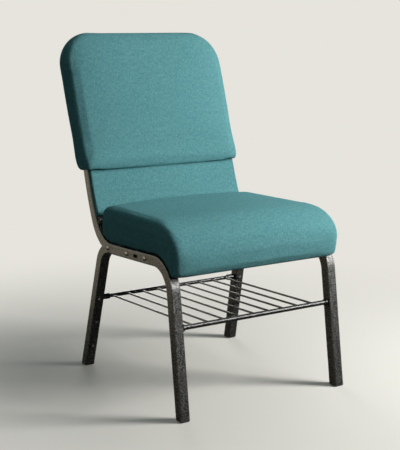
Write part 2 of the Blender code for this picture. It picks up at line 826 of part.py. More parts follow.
def make_back_cushion():
    outline = back_outline()
    normals = outward_normals(outline)
    middle = BACK_CUSHION_HEIGHT / 2
    front = TUBE / 2 + BACK_FRONT_PAD

    def rear(up):
        share = up / BACK_CUSHION_HEIGHT
        return -TUBE / 2 - BACK_REAR_PAD_LOW - (BACK_REAR_PAD_HIGH - BACK_REAR_PAD_LOW) * share

    # Each row: front or rear face, how far round its edge, how much of the face it encloses, its crown
    rows = [(1, 90, size, BACK_CROWN * crown) for size, crown in BACK_CROWN_ROWS]
    rows += [(1, turn, 1.0, 0.0) for turn in reversed(EDGE_TURNS)]
    rows += [(-1, turn, 1.0, 0.0) for turn in EDGE_TURNS]
    rows += [(-1, 90, size, BACK_REAR_CROWN * crown) for size, crown in reversed(BACK_CROWN_ROWS)]
    rings = []
    for face, turn, size, crown in rows:
        ring = []
        for (x, up, edge), (out_x, out_up) in zip(outline, normals):
            inset = edge * (1 - math.cos(math.radians(turn)))
            along = (up - middle) / middle
            swell = 1 + BACK_SWELL / back_half * (1 - along * along)
            x_here = (x * swell - out_x * inset) * size
            up_here = middle + (up - out_up * inset - middle) * size
            surface = front if face > 0 else -rear(up_here)
            depth = surface + crown - edge * (1 - math.sin(math.radians(turn)))
            ring.append(on_back(x_here, face * depth, up_here))
        rings.append(ring)
    cushion = loft("upper_back_cushion", rings, TEAL_FABRIC)
    # One slot for the board with its screws, one for each upright, one for the cross rail
    depths = (TUBE / 2 - SOFT_GAP, back_board_front + SCREW_HEAD_HEIGHT + SOFT_GAP)
    heights = (-TUBE, BACK_BOARD_LOW + BACK_BOARD_HEIGHT + SOFT_GAP)
    inset = BACK_BOARD_INSET - SOFT_GAP
    cut(cushion, back_slot((-1, inset), (1, inset), depths, heights))
    tube_room = TUBE / 2 + SOFT_GAP
    heights = (-TUBE, UPRIGHT_RUN - SEAM_AT + SOFT_GAP)
    for _, side in SIDES:
        ends = ((side, -SOFT_GAP), (side, TUBE + SOFT_GAP))
        cut(cushion, back_slot(*ends, (-tube_room, tube_room), heights))
    rail_room = CROSS_TUBE / 2 + SOFT_GAP
    rail_up = UPPER_CROSS_AT - SEAM_AT
    heights = (rail_up - rail_room, rail_up + rail_room)
    cut(cushion, back_slot((-1, TUBE / 2), (1, TUBE / 2), (-rail_room, TUBE / 2), heights))


def make_back_board():
    rings = []
    for up in (BACK_BOARD_LOW, BACK_BOARD_LOW + BACK_BOARD_HEIGHT):
        ring = []
        faces = (back_board_back, back_board_back, back_board_front, back_board_front)
        for side, forward in zip((-1, 1, 1, -1), faces):
            point = on_back(0, forward, up)
            point.x = side * (side_x(point.y, point.z) - BACK_BOARD_INSET)
            ring.append(point)
        rings.append(ring)
    board = loft("back_board", rings, PLYWOOD)
    holes = bmesh.new()
    for _, side in SIDES:
        for up in (BACK_SCREW_LOW, BACK_SCREW_HIGH):
            front_hole(holes, upright_at(SEAM_AT + up), side, side_x, SCREW_HOLE, 2 * BACK_BOARD)
    cut(board, holes)


# The lower panel follows the bend of the uprights: a thin board on their front faces, and a pad over it.
panel_low = SEAM_AT - PANEL_DROP
panel_screw_at = panel_low - PANEL_SCREW_DROP
panel_high = SEAM_AT - SOFT_GAP


def panel_heights(low, high):
    """Places up the tube between two ends, close together in the bend."""
    in_bend = [low + (0 - low) * i / PANEL_STEPS for i in range(PANEL_STEPS)] if low < 0 else [low]
    return [*in_bend, *([0.0] if low < 0 < high else []), high]


def panel_board_into(bm, grow):
    """The board with a tab below the pad on each upright, all its faces moved out by grow."""
    back = TUBE / 2 + GAP - grow
    front = TUBE / 2 + GAP + PANEL_BOARD + grow
    low = panel_low + PANEL_BOARD_INSET - grow
    high = panel_high - PANEL_BOARD_INSET + grow
    tab_low = panel_low - PANEL_TAB - grow
    edges = [PANEL_BOARD_INSET - grow, PANEL_BOARD_INSET + PANEL_TAB_WIDTH + grow]
    heights = [*panel_heights(tab_low, low)[:-1], *panel_heights(low, high)]
    heights = sorted(set(heights))
    columns = [(-1, edges[0]), (-1, edges[1]), (1, edges[1]), (1, edges[0])]

    def corner(height, column, forward):
        side, inset = columns[column]
        y, z = offset(upright_at(height), forward)
        return Vector((side * (side_x(y, z) - inset), y, z))

    sheets = [
        [[bm.verts.new(corner(h, c, forward)) for c in range(4)] for h in heights]
        for forward in (back, front)
    ]
    cells = [
        (row, column)
        for row in range(len(heights) - 1)
        for column in range(3)
        if column != 1 or heights[row] >= low
    ]
    for sheet in sheets:
        for row, column in cells:
            bm.faces.new(
                (
                    sheet[row][column],
                    sheet[row][column + 1],
                    sheet[row + 1][column + 1],
                    sheet[row + 1][column],
                )
            )
    rims = [edge for edge in bm.edges if len(edge.link_faces) == 1]
    bmesh.ops.bridge_loops(bm, edges=rims)
    bmesh.ops.delete(bm, geom=[v for v in bm.verts if not v.link_faces], context="VERTS")


def make_panel_board():
    bm = bmesh.new()
    panel_board_into(bm, 0.0)
    board = solid("lower_back_board", bm, BLACK_PLASTIC)
    holes = bmesh.new()
    for _, side in SIDES:
        front_hole(holes, upright_at(panel_screw_at), side, side_x, SCREW_HOLE, 2 * PANEL_BOARD)
    cut(board, holes)


def make_panel_pad():
    back = TUBE / 2 + SOFT_GAP
    front = back + PANEL_PAD
    rings = []
    heights = panel_heights(panel_low, panel_high)
    ends = [(heights[0], PANEL_EDGE), (heights[0] + PANEL_EDGE, 0.0)]
    ends += [(height, 0.0) for height in heights[1:-1]]
    ends += [(heights[-1] - PANEL_EDGE, 0.0), (heights[-1], PANEL_EDGE)]
    for distance, thinner in ends:
        face = front - thinner
        ring = []
        for share, forward, inset in (
            [(-1.0, back, 0.0), (1.0, back, 0.0), (1.0, face - PANEL_EDGE, 0.0)]
            + [(share, face, PANEL_EDGE) for share in reversed(PANEL_SHARES)]
            + [(-1.0, face - PANEL_EDGE, 0.0)]
        ):
            crown = PANEL_CROWN * (1 - share * share) * (inset > 0)
            y, z = offset(upright_at(distance), forward + crown)
            ring.append(Vector((share * (side_x(y, z) - inset), y, z)))
        rings.append(ring)
    pad = loft("lower_back_pad", rings, TEAL_FABRIC)
    recess = bmesh.new()
    panel_board_into(recess, SOFT_GAP)
    cut(pad, recess)


def front_screw(name, distance, side, stack):
    """A screw into the front of an upright, through a piece this thick."""
    base, inward = front_place(upright_at(distance), side, side_x, stack + 2 * GAP)
    headed(name, base, inward, *SCREW, stack + 2 * TUBE_WALL, ZINC)


def make_fasteners(word, side):
    bolts = (("front", FRONT_BOLT_AT), ("middle", MIDDLE_BOLT_AT), ("rear", rear_cross_at))
    for place, distance in bolts:
        y, z, _ = rail_at(distance)
        base = (side * (side_x(y, z) + GAP), y, z)
        grip = TUBE + 2 * GAP + (CROSS_END_PLATE if place == "rear" else BRACKET_STEEL)
        headed(f"{word}_{place}_rail_bolt", base, (-side, 0, 0), *BOLT, grip, ZINC)
    for place, distance in (("front", FRONT_SCREW_AT), ("rear", REAR_SCREW_AT)):
        base, up = seat_screw_place(distance, side)
        length = BRACKET_STEEL + SCREW_BITE
        headed(f"{word}_{place}_seat_screw", base - up * GAP, up, *SCREW, length, ZINC)
    for place, up in (("lower", BACK_SCREW_LOW), ("upper", BACK_SCREW_HIGH)):
        front_screw(f"{word}_{place}_back_board_screw", SEAM_AT + up, side, BACK_BOARD)
    front_screw(f"{word}_lower_panel_screw", panel_screw_at, side, PANEL_BOARD)


def make_rack_rail(name, station, x_at, diameter):
    """A rail whose ends go into the legs as far as their middle."""
    y, z, _ = station
    half = x_at(y, z) - TUBE / 2
    rings = turned_rings([(-half, diameter / 2), (half, diameter / 2)], (0, y, z), (1, 0, 0))
    loft(name, rings, POWDER_COAT)


def make_collar(name, station, x_at, diameter, length, side):
    y, z, _ = station
    bore = diameter / 2 + GAP
    lean = TUBE_ROUND / 2  # room for the slope of the leg's inner face
    base = (side * (x_at(y, z) - TUBE - lean), y, z)
    walls = [
        turned_rings([(0, radius), (length, radius)], base, (-side, 0, 0))
        for radius in (bore + RACK_COLLAR_WALL, bore)
    ]
    pipe(name, *walls, POWDER_COAT)


def make_rack():
    make_rack_rail("rack_front_rail", front_rack_station, side_x, RACK_FRONT_RAIL)
    make_rack_rail("rack_rear_rail", rear_rack_station, rear_leg_x, RACK_REAR_RAIL)
    front = Vector((0, front_rack_station[0], front_rack_station[1]))
    rear = Vector((0, rear_rack_station[0], rear_rack_station[1]))
    way = (rear - front).normalized()
    base = front + way * (RACK_FRONT_RAIL / 2 + GAP)
    length = (rear - front).length - (RACK_FRONT_RAIL + RACK_REAR_RAIL) / 2 - 2 * GAP
    for number in range(RACK_WIRES):
        x = (number - (RACK_WIRES - 1) / 2) * RACK_WIRE_PITCH
        rings = turned_rings([(0, RACK_WIRE / 2), (length, RACK_WIRE / 2)], base + Vector((x, 0, 0)), way)
        loft(f"rack_wire_{number + 1}", rings, POWDER_COAT)
    ends = [
        ("front", front_rack_station, side_x, RACK_FRONT_RAIL, RACK_FRONT_COLLAR),
        ("rear", rear_rack_station, rear_leg_x, RACK_REAR_RAIL, RACK_REAR_COLLAR),
    ]
    for place, *sizes in ends:
        for word, side in SIDES:
            make_collar(f"rack_{place}_{word}_collar", *sizes, side)


def make_leg_trim(word, side):
    """The set screw that holds the rack's rear rail in the leg, and the plugs below it."""
    places = [("rack_set_screw", RACK_REAR_HEIGHT)]
    places += [(f"leg_plug_{i + 1}", height) for i, height in enumerate(LEG_PLUG_HEIGHTS)]
    for label, height in places:
        base, inward = front_place(leg_station(rear_foot, height), side, rear_leg_x, GAP)
        if label == "rack_set_screw":
            reach = TUBE / 2 - RACK_REAR_RAIL / 2
            headed(f"{word}_{label}", base, inward, *SET_SCREW, reach, ZINC)
        else:
            headed(f"{word}_{label}", base, inward, *LEG_PLUG, LEG_PLUG_STEM, BLACK_PLASTIC)


for word, side in SIDES:
    make_side_tube(word, side)
    make_rear_leg(word, side)
    make_glide(f"front_{word}_glide", front_foot, side_x, side)
    make_glide(f"rear_{word}_glide", rear_foot, rear_leg_x, side)
    make_bracket(word, side)
    make_fasteners(word, side)
    make_leg_trim(word, side)
make_cross_rail("front_seat_cross_rail", rail_at(FRONT_CROSS_AT))
make_bolted_cross_rail("rear_seat_cross_rail", rail_at(rear_cross_at))
make_cross_rail("lower_back_cross_rail", upright_at(LOWER_CROSS_AT))
make_cross_rail("upper_back_cross_rail", upright_at(UPPER_CROSS_AT))
make_rack()
make_seat_board()
make_seat_cover()
make_seat_cushion()
make_back_board()
make_back_cushion()
make_panel_board()
make_panel_pad()

# The origin is under the middle of the whole chair.
bpy.context.view_layer.update()
shown = [thing for thing in chair.children if not thing.hide_render]
depths = [corner[1] for thing in shown for corner in thing.bound_box]
chair.location.y = -(min(depths) + max(depths)) / 2
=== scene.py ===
import json
import math

import bmesh
import bpy
from mathutils import Matrix, Vector
from mathutils.bvhtree import BVHTree


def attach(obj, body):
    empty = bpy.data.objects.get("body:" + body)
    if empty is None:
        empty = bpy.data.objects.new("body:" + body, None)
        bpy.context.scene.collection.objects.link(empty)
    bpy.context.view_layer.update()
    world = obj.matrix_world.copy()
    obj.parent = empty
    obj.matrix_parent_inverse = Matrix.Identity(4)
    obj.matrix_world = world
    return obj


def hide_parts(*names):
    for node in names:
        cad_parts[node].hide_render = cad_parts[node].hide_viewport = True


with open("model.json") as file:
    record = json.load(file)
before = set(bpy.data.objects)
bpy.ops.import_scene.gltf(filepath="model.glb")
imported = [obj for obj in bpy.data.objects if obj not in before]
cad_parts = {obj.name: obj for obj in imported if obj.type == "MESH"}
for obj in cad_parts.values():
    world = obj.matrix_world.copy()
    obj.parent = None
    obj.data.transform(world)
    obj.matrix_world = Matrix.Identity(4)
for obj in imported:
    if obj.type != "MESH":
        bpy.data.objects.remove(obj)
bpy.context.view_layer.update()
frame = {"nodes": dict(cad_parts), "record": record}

scene = bpy.context.scene
nodes = frame["nodes"]
scene.view_settings.view_transform = "Standard"


# Camera, at the viewing angle of the photograph
cameraSettings = {
    "place": (-1.45758, -2.22468, 0.92087),
    "turn": -0.58441,
    "tilt": 0.203,
    "roll": 0.01192,
    "lens": 86.07,
    "sensor": 36.0,
    "farClip": 60.0,
}


def makeCamera():
    lensData = bpy.data.cameras.new("photoCamera")
    lensData.lens = cameraSettings["lens"]
    lensData.sensor_width = cameraSettings["sensor"]
    lensData.clip_end = cameraSettings["farClip"]
    camera = bpy.data.objects.new("photoCamera", lensData)
    turn = Matrix.Rotation(cameraSettings["turn"], 4, "Z")
    tilt = Matrix.Rotation(math.pi / 2 - cameraSettings["tilt"], 4, "X")
    roll = Matrix.Rotation(cameraSettings["roll"], 4, "Z")
    camera.matrix_world = Matrix.Translation(cameraSettings["place"]) @ turn @ tilt @ roll
    scene.collection.objects.link(camera)
    scene.camera = camera


makeCamera()
print("camera set")


# Small helpers for node trees
def linearColour(text):
    channels = [int(text[i : i + 2], 16) / 255 for i in (0, 2, 4)]
    linear = [c / 12.92 if c <= 0.04045 else ((c + 0.055) / 1.055) ** 2.4 for c in channels]
    return (*linear, 1.0)


def plug(tree, socket, value):
    if isinstance(value, bpy.types.NodeSocket):
        tree.links.new(value, socket)
    else:
        socket.default_value = value


def calc(tree, operation, first, second=0.0, third=0.0):
    node = tree.nodes.new("ShaderNodeMath")
    node.operation = operation
    for socket, value in zip(node.inputs, (first, second, third)):
        plug(tree, socket, value)
    return node.outputs[0]


def blendValue(tree, share, low, high):
    node = tree.nodes.new("ShaderNodeMix")
    plug(tree, node.inputs["Factor"], share)
    plug(tree, node.inputs["A"], low)
    plug(tree, node.inputs["B"], high)
    return node.outputs["Result"]


def blendColour(tree, share, low, high, mode="MIX"):
    node = tree.nodes.new("ShaderNodeMix")
    node.data_type = "RGBA"
    node.blend_type = mode
    plug(tree, node.inputs["Factor"], share)
    plug(tree, node.inputs[6], low)
    plug(tree, node.inputs[7], high)
    return node.outputs[2]


def softStep(tree, value, low, high):
    node = tree.nodes.new("ShaderNodeMapRange")
    node.interpolation_type = "SMOOTHSTEP"
    plug(tree, node.inputs["Value"], value)
    node.inputs["From Min"].default_value = low
    node.inputs["From Max"].default_value = high
    return node.outputs["Result"]


def noise(tree, place, scale, detail=2.0, roughness=0.5):
    node = tree.nodes.new("ShaderNodeTexNoise")
    plug(tree, node.inputs["Vector"], place)
    node.inputs["Scale"].default_value = scale
    node.inputs["Detail"].default_value = detail
    node.inputs["Roughness"].default_value = roughness
    return node.outputs["Fac"]


def joinXyz(tree, x, y, z=0.0):
    node = tree.nodes.new("ShaderNodeCombineXYZ")
    for socket, value in zip(node.inputs, (x, y, z)):
        plug(tree, socket, value)
    return node.outputs[0]


def newGroup(name, inputs, outputs):
    group = bpy.data.node_groups.new(name, "ShaderNodeTree")
    for label, kind, default in inputs:
        socket = group.interface.new_socket(name=label, in_out="INPUT", socket_type=kind)
        if default is not None:
            socket.default_value = default
    for label in outputs:
        group.interface.new_socket(name=label, in_out="OUTPUT", socket_type="NodeSocketFloat")
    return group, group.nodes.new("NodeGroupInput"), group.nodes.new("NodeGroupOutput")


# Plain weave laid on the side that a face turns to: threads one over, one under, with slubs in the yarn
weaveSettings = {
    "mingled": 0.55,  # share of both yarns' shade, beside that of the yarn on top
    "streaked": 0.5,  # share of the coarser streaks
    "streakWidth": 0.36,  # streaks to a thread
    "streakLength": 0.55,  # streaks to a slub
    "streakOver": 0.38,  # share of the streaks that run across
    "cloud": 9.0,
    "weftCut": 7.3,
    "streakUpCut": 2.1,
    "streakOverCut": 4.7,
}


def makeWeaveGroup():
    group, given, result = newGroup(
        "plainWeave",
        [
            ("Place", "NodeSocketVector", None),
            ("Facing", "NodeSocketVector", None),
            ("Threads per metre", "NodeSocketFloat", 900.0),
            ("Slub length", "NodeSocketFloat", 0.014),
        ],
        ["Height", "Heather", "Cloud"],
    )
    split = group.nodes.new("ShaderNodeSeparateXYZ")
    group.links.new(given.outputs["Place"], split.inputs[0])
    faces = group.nodes.new("ShaderNodeSeparateXYZ")
    group.links.new(given.outputs["Facing"], faces.inputs[0])
    turned = [calc(group, "ABSOLUTE", faces.outputs[i]) for i in range(3)]
    toSide = calc(group, "GREATER_THAN", turned[0], calc(group, "MAXIMUM", turned[1], turned[2]))
    toTop = calc(group, "GREATER_THAN", turned[2], turned[1])
    toTop = calc(group, "MULTIPLY", toTop, calc(group, "SUBTRACT", 1.0, toSide))
    across = blendValue(group, toSide, split.outputs[0], split.outputs[1])
    along = blendValue(group, toTop, split.outputs[2], split.outputs[1])
    threads = given.outputs["Threads per metre"]
    warpPlace = calc(group, "MULTIPLY", across, threads)
    weftPlace = calc(group, "MULTIPLY", along, threads)
    warp = calc(group, "SINE", calc(group, "MULTIPLY", warpPlace, math.pi))
    weft = calc(group, "SINE", calc(group, "MULTIPLY", weftPlace, math.pi))
    warpOnTop = calc(group, "GREATER_THAN", calc(group, "MULTIPLY", warp, weft), 0.0)
    height = blendValue(group, warpOnTop, calc(group, "ABSOLUTE", weft), calc(group, "ABSOLUTE", warp))

    # Yarn shade: each thread keeps its shade for a slub length, then drifts
    slub = calc(group, "DIVIDE", 1.0, given.outputs["Slub length"])
    warpShade = noise(group, joinXyz(group, warpPlace, calc(group, "MULTIPLY", along, slub)), 1.0, 1.0)
    slubAcross = calc(group, "MULTIPLY", across, slub)
    weftShade = noise(group, joinXyz(group, slubAcross, weftPlace, weaveSettings["weftCut"]), 1.0, 1.0)
    shade = blendValue(group, warpOnTop, weftShade, warpShade)
    both = calc(group, "MULTIPLY", calc(group, "ADD", warpShade, weftShade), 0.5)
    heather = blendValue(group, weaveSettings["mingled"], shade, both)
    # Coarser streaks, a few threads wide
    broadWarp = calc(group, "MULTIPLY", warpPlace, weaveSettings["streakWidth"])
    broadWeft = calc(group, "MULTIPLY", weftPlace, weaveSettings["streakWidth"])
    length = calc(group, "MULTIPLY", slub, weaveSettings["streakLength"])
    lengthUp = calc(group, "MULTIPLY", along, length)
    lengthOver = calc(group, "MULTIPLY", across, length)
    upPlace = joinXyz(group, broadWarp, lengthUp, weaveSettings["streakUpCut"])
    streakUp = noise(group, upPlace, 1.0, 1.0)
    overPlace = joinXyz(group, lengthOver, broadWeft, weaveSettings["streakOverCut"])
    streakOver = noise(group, overPlace, 1.0, 1.0)
    streak = blendValue(group, weaveSettings["streakOver"], streakUp, streakOver)
    heather = blendValue(group, weaveSettings["streaked"], heather, streak)
    group.links.new(height, result.inputs["Height"])
    group.links.new(heather, result.inputs["Heather"])
    group.links.new(noise(group, given.outputs["Place"], weaveSettings["cloud"]), result.inputs["Cloud"])
    return group


# Hammered coat: shallow dimples with pale veins between them, broken here and there, and flecks
hammerSettings = {
    "wander": 260.0,
    "wanderBy": 0.0028,
    "breaks": {"scale": 330.0, "low": 0.44, "high": 0.66},
    "flecks": {"scale": 460.0, "low": 0.59, "high": 0.71},
    "fleckShare": 0.7,
    "dimpleEdge": 2.6,  # in vein widths
    "drift": 14.0,
}


def makeHammerGroup():
    group, given, result = newGroup(
        "hammeredGrain",
        [
            ("Place", "NodeSocketVector", None),
            ("Dimples per metre", "NodeSocketFloat", 420.0),
            ("Vein width", "NodeSocketFloat", 0.10),
        ],
        ["Height", "Vein", "Drift"],
    )
    place = given.outputs["Place"]
    wander = group.nodes.new("ShaderNodeTexNoise")
    wander.inputs["Scale"].default_value = hammerSettings["wander"]
    group.links.new(place, wander.inputs["Vector"])
    shift = group.nodes.new("ShaderNodeVectorMath")
    shift.operation = "MULTIPLY_ADD"
    group.links.new(wander.outputs["Color"], shift.inputs[0])
    shift.inputs[1].default_value = [hammerSettings["wanderBy"]] * 3
    group.links.new(place, shift.inputs[2])
    cells = group.nodes.new("ShaderNodeTexVoronoi")
    cells.feature = "DISTANCE_TO_EDGE"
    group.links.new(shift.outputs[0], cells.inputs["Vector"])
    group.links.new(given.outputs["Dimples per metre"], cells.inputs["Scale"])
    edge = calc(group, "DIVIDE", cells.outputs["Distance"], given.outputs["Vein width"])
    vein = calc(group, "SUBTRACT", 1.0, softStep(group, edge, 0.0, 1.0))
    breaks = hammerSettings["breaks"]
    broken = softStep(group, noise(group, place, breaks["scale"]), breaks["low"], breaks["high"])
    vein = calc(group, "MULTIPLY", vein, broken)
    flecks = hammerSettings["flecks"]
    flecked = softStep(group, noise(group, place, flecks["scale"], 1.0), flecks["low"], flecks["high"])
    vein = calc(group, "MAXIMUM", vein, calc(group, "MULTIPLY", flecked, hammerSettings["fleckShare"]))
    group.links.new(softStep(group, edge, 0.0, hammerSettings["dimpleEdge"]), result.inputs["Height"])
    group.links.new(vein, result.inputs["Vein"])
    group.links.new(noise(group, place, hammerSettings["drift"], 3.0), result.inputs["Drift"])
    return group


# Scuffs that gather towards the floor
scuffSettings = {"stretch": (1.0, 1.0, 3.5), "scale": 150.0, "low": 0.55, "high": 0.72}


def makeScuffGroup():
    group, given, result = newGroup(
        "floorScuff",
        [("Place", "NodeSocketVector", None), ("Reach", "NodeSocketFloat", 0.06)],
        ["Scuff"],
    )
    split = group.nodes.new("ShaderNodeSeparateXYZ")
    group.links.new(given.outputs["Place"], split.inputs[0])
    low = calc(group, "SUBTRACT", 1.0, calc(group, "DIVIDE", split.outputs[2], given.outputs["Reach"]))
    low = calc(group, "MAXIMUM", low, 0.0)
    stretch = group.nodes.new("ShaderNodeMapping")
    stretch.inputs["Scale"].default_value = scuffSettings["stretch"]
    group.links.new(given.outputs["Place"], stretch.inputs["Vector"])
    marks = noise(group, stretch.outputs[0], scuffSettings["scale"], 4.0, 0.65)
    marks = softStep(group, marks, scuffSettings["low"], scuffSettings["high"])
    group.links.new(calc(group, "MULTIPLY", low, marks), result.inputs["Scuff"])
    return group


weaveGroup = makeWeaveGroup()
hammerGroup = makeHammerGroup()
scuffGroup = makeScuffGroup()


def newMaterial(name):
    material = bpy.data.materials.new(name)
    material.use_nodes = True
    tree = material.node_tree
    shader = tree.nodes["Principled BSDF"]
    place = tree.nodes.new("ShaderNodeTexCoord")
    return material, tree, shader, place


def useGroup(tree, group, **given):
    node = tree.nodes.new("ShaderNodeGroup")
    node.node_tree = group
    for label, value in given.items():
        plug(tree, node.inputs[label], value)
    return node


def bumpFrom(tree, shader, height, depth, strength=1.0):
    bump = tree.nodes.new("ShaderNodeBump")
    bump.inputs["Strength"].default_value = strength
    bump.inputs["Distance"].default_value = depth
    tree.links.new(height, bump.inputs["Height"])
    tree.links.new(bump.outputs[0], shader.inputs["Normal"])


fabricSettings = {
    "dark": "4d8c92",
    "light": "78b1b6",
    # Colour of the painted shade in the dips of the weave
    "under": "2b666c",
    "threads": 900.0,
    "slub": 0.0045,
    "heather": (0.30, 0.70),
    "cloud": 0.16,
    "dip": 0.2,
    "bump": 0.0005,
    # Colour, reach and thresholds of the painted shade in folds and seams
    "paintedCreaseShade": "0c4046",
    "creaseShadeReach": 0.012,
    "creaseShadeSamples": 12,
    "creaseShadeOpen": (0.45, 0.97),
    "roughness": 0.92,
    "specular": 0.05,
    "sheen": 0.18,
    "sheenRoughness": 0.45,
    "sheenTint": "8fd0d4",
}


def makeFabric():
    material, tree, shader, place = newMaterial("tealFabric")
    weave = useGroup(tree, weaveGroup, Place=place.outputs["Object"], Facing=place.outputs["Normal"])
    weave.inputs["Threads per metre"].default_value = fabricSettings["threads"]
    weave.inputs["Slub length"].default_value = fabricSettings["slub"]
    shade = softStep(tree, weave.outputs["Heather"], *fabricSettings["heather"])
    drift = fabricSettings["cloud"]
    cloud = calc(tree, "MULTIPLY_ADD", weave.outputs["Cloud"], drift, -drift / 2)
    shade = calc(tree, "ADD", shade, cloud)
    colour = blendColour(
        tree, shade, linearColour(fabricSettings["dark"]), linearColour(fabricSettings["light"])
    )
    # Painted shade: threads are darker where they dip under their neighbours
    dip = calc(tree, "SUBTRACT", 1.0, weave.outputs["Height"])
    dip = calc(tree, "MULTIPLY", dip, fabricSettings["dip"])
    colour = blendColour(tree, dip, colour, linearColour(fabricSettings["under"]))
    # Painted shade: occlusion darkens the colour where the cloth lies close to its neighbour, in folds and
    # in the seams between parts
    creaseOcclusion = tree.nodes.new("ShaderNodeAmbientOcclusion")
    creaseOcclusion.samples = fabricSettings["creaseShadeSamples"]
    creaseOcclusion.inputs["Distance"].default_value = fabricSettings["creaseShadeReach"]
    outOfCreaseShade = softStep(tree, creaseOcclusion.outputs["AO"], *fabricSettings["creaseShadeOpen"])
    inCreaseShade = calc(tree, "SUBTRACT", 1.0, outOfCreaseShade)
    colour = blendColour(tree, inCreaseShade, colour, linearColour(fabricSettings["paintedCreaseShade"]))
    tree.links.new(colour, shader.inputs["Base Color"])
    shader.inputs["Roughness"].default_value = fabricSettings["roughness"]
    shader.inputs["Specular IOR Level"].default_value = fabricSettings["specular"]
    shader.inputs["Sheen Weight"].default_value = fabricSettings["sheen"]
    shader.inputs["Sheen Roughness"].default_value = fabricSettings["sheenRoughness"]
    shader.inputs["Sheen Tint"].default_value = linearColour(fabricSettings["sheenTint"])
    bumpFrom(tree, shader, weave.outputs["Height"], fabricSettings["bump"])
    return material


coatSettings = {
    "powderCoat": {"base": "090908", "vein": "8c8a84", "bare": "8d8b86", "dimples": 420.0, "bump": 0.0002},
    "rackCoat": {"base": "0c0c0b", "vein": "3a3936", "bare": "8d8b86", "dimples": 900.0, "bump": 0.00008},
}
coatGloss = {
    "smooth": 0.2,
    "vein": 0.34,
    "drift": 0.08,
    "wear": 0.4,
    "veinMetal": 0.35,
    "worn": 0.35,
    "bumpShare": 0.8,
}


def makeCoat(name):
    settings = coatSettings[name]
    material, tree, shader, place = newMaterial(name)
    grain = useGroup(tree, hammerGroup, Place=place.outputs["Object"])
    grain.inputs["Dimples per metre"].default_value = settings["dimples"]
    scuff = useGroup(tree, scuffGroup, Place=place.outputs["Object"])
    colour = blendColour(
        tree, grain.outputs["Vein"], linearColour(settings["base"]), linearColour(settings["vein"])
    )
    worn = calc(tree, "MULTIPLY", scuff.outputs["Scuff"], coatGloss["worn"])
    colour = blendColour(tree, worn, colour, linearColour(settings["bare"]))
    tree.links.new(colour, shader.inputs["Base Color"])
    gloss = blendValue(tree, grain.outputs["Vein"], coatGloss["smooth"], coatGloss["vein"])
    gloss = calc(tree, "MULTIPLY_ADD", grain.outputs["Drift"], coatGloss["drift"], gloss)
    gloss = calc(tree, "MULTIPLY_ADD", worn, coatGloss["wear"], gloss)
    tree.links.new(gloss, shader.inputs["Roughness"])
    metal = calc(tree, "MULTIPLY", grain.outputs["Vein"], coatGloss["veinMetal"])
    tree.links.new(metal, shader.inputs["Metallic"])
    bumpFrom(tree, shader, grain.outputs["Height"], settings["bump"], coatGloss["bumpShare"])
    return material


plasticSettings = {
    "blackPlastic": {"base": "0f0f0f", "worn": "33322f", "grain": 1400.0},
    # Light grey plastic for the leg plugs: a painted highlight, in place of their glints
    "paintedGlintPlastic": {"base": "6a6965", "worn": "99978f", "grain": 1400.0},
}
plasticWear = {"reach": 0.02, "drift": 0.15, "gloss": 0.45, "wear": 0.25, "bump": 0.00008, "bumpShare": 0.6}


def makePlastic(name):
    settings = plasticSettings[name]
    material, tree, shader, place = newMaterial(name)
    grain = useGroup(tree, hammerGroup, Place=place.outputs["Object"])
    grain.inputs["Dimples per metre"].default_value = settings["grain"]
    scuff = useGroup(tree, scuffGroup, Place=place.outputs["Object"], Reach=plasticWear["reach"])
    worn = calc(tree, "MULTIPLY_ADD", grain.outputs["Drift"], plasticWear["drift"], scuff.outputs["Scuff"])
    colour = blendColour(tree, worn, linearColour(settings["base"]), linearColour(settings["worn"]))
    tree.links.new(colour, shader.inputs["Base Color"])
    gloss = calc(tree, "MULTIPLY_ADD", worn, plasticWear["wear"], plasticWear["gloss"])
    tree.links.new(gloss, shader.inputs["Roughness"])
    bumpFrom(tree, shader, grain.outputs["Height"], plasticWear["bump"], plasticWear["bumpShare"])
    return material


zincSettings = {
    "bright": "8d8b8a",
    "dull": "5a5857",
    "patches": 420.0,
    "patchEdge": (0.35, 0.68),
    "grain": 2600.0,
    "gloss": 0.18,
    "patchGloss": 0.25,
    "bump": 0.00005,
    "bumpShare": 0.5,
}


def makeZinc():
    material, tree, shader, place = newMaterial("zincPlate")
    patches = noise(tree, place.outputs["Object"], zincSettings["patches"], 3.0, 0.6)
    fine = noise(tree, place.outputs["Object"], zincSettings["grain"])
    share = softStep(tree, patches, *zincSettings["patchEdge"])
    bright = linearColour(zincSettings["bright"])
    colour = blendColour(tree, share, bright, linearColour(zincSettings["dull"]))
    tree.links.new(colour, shader.inputs["Base Color"])
    shader.inputs["Metallic"].default_value = 1.0
    gloss = calc(tree, "MULTIPLY_ADD", patches, zincSettings["patchGloss"], zincSettings["gloss"])
    tree.links.new(gloss, shader.inputs["Roughness"])
    bumpFrom(tree, shader, fine, zincSettings["bump"], zincSettings["bumpShare"])
    return material


plywoodSettings = {
    "pale": "c8a878",
    "dark": "8f6b41",
    "plies": 620.0,
    "grain": (6.0, 160.0, 160.0),
    "grainEdge": (0.3, 0.75),
    "plyShare": 0.12,
    "gloss": 0.6,
    "grainGloss": 0.2,
    "bump": 0.0002,
    "bumpShare": 0.5,
}


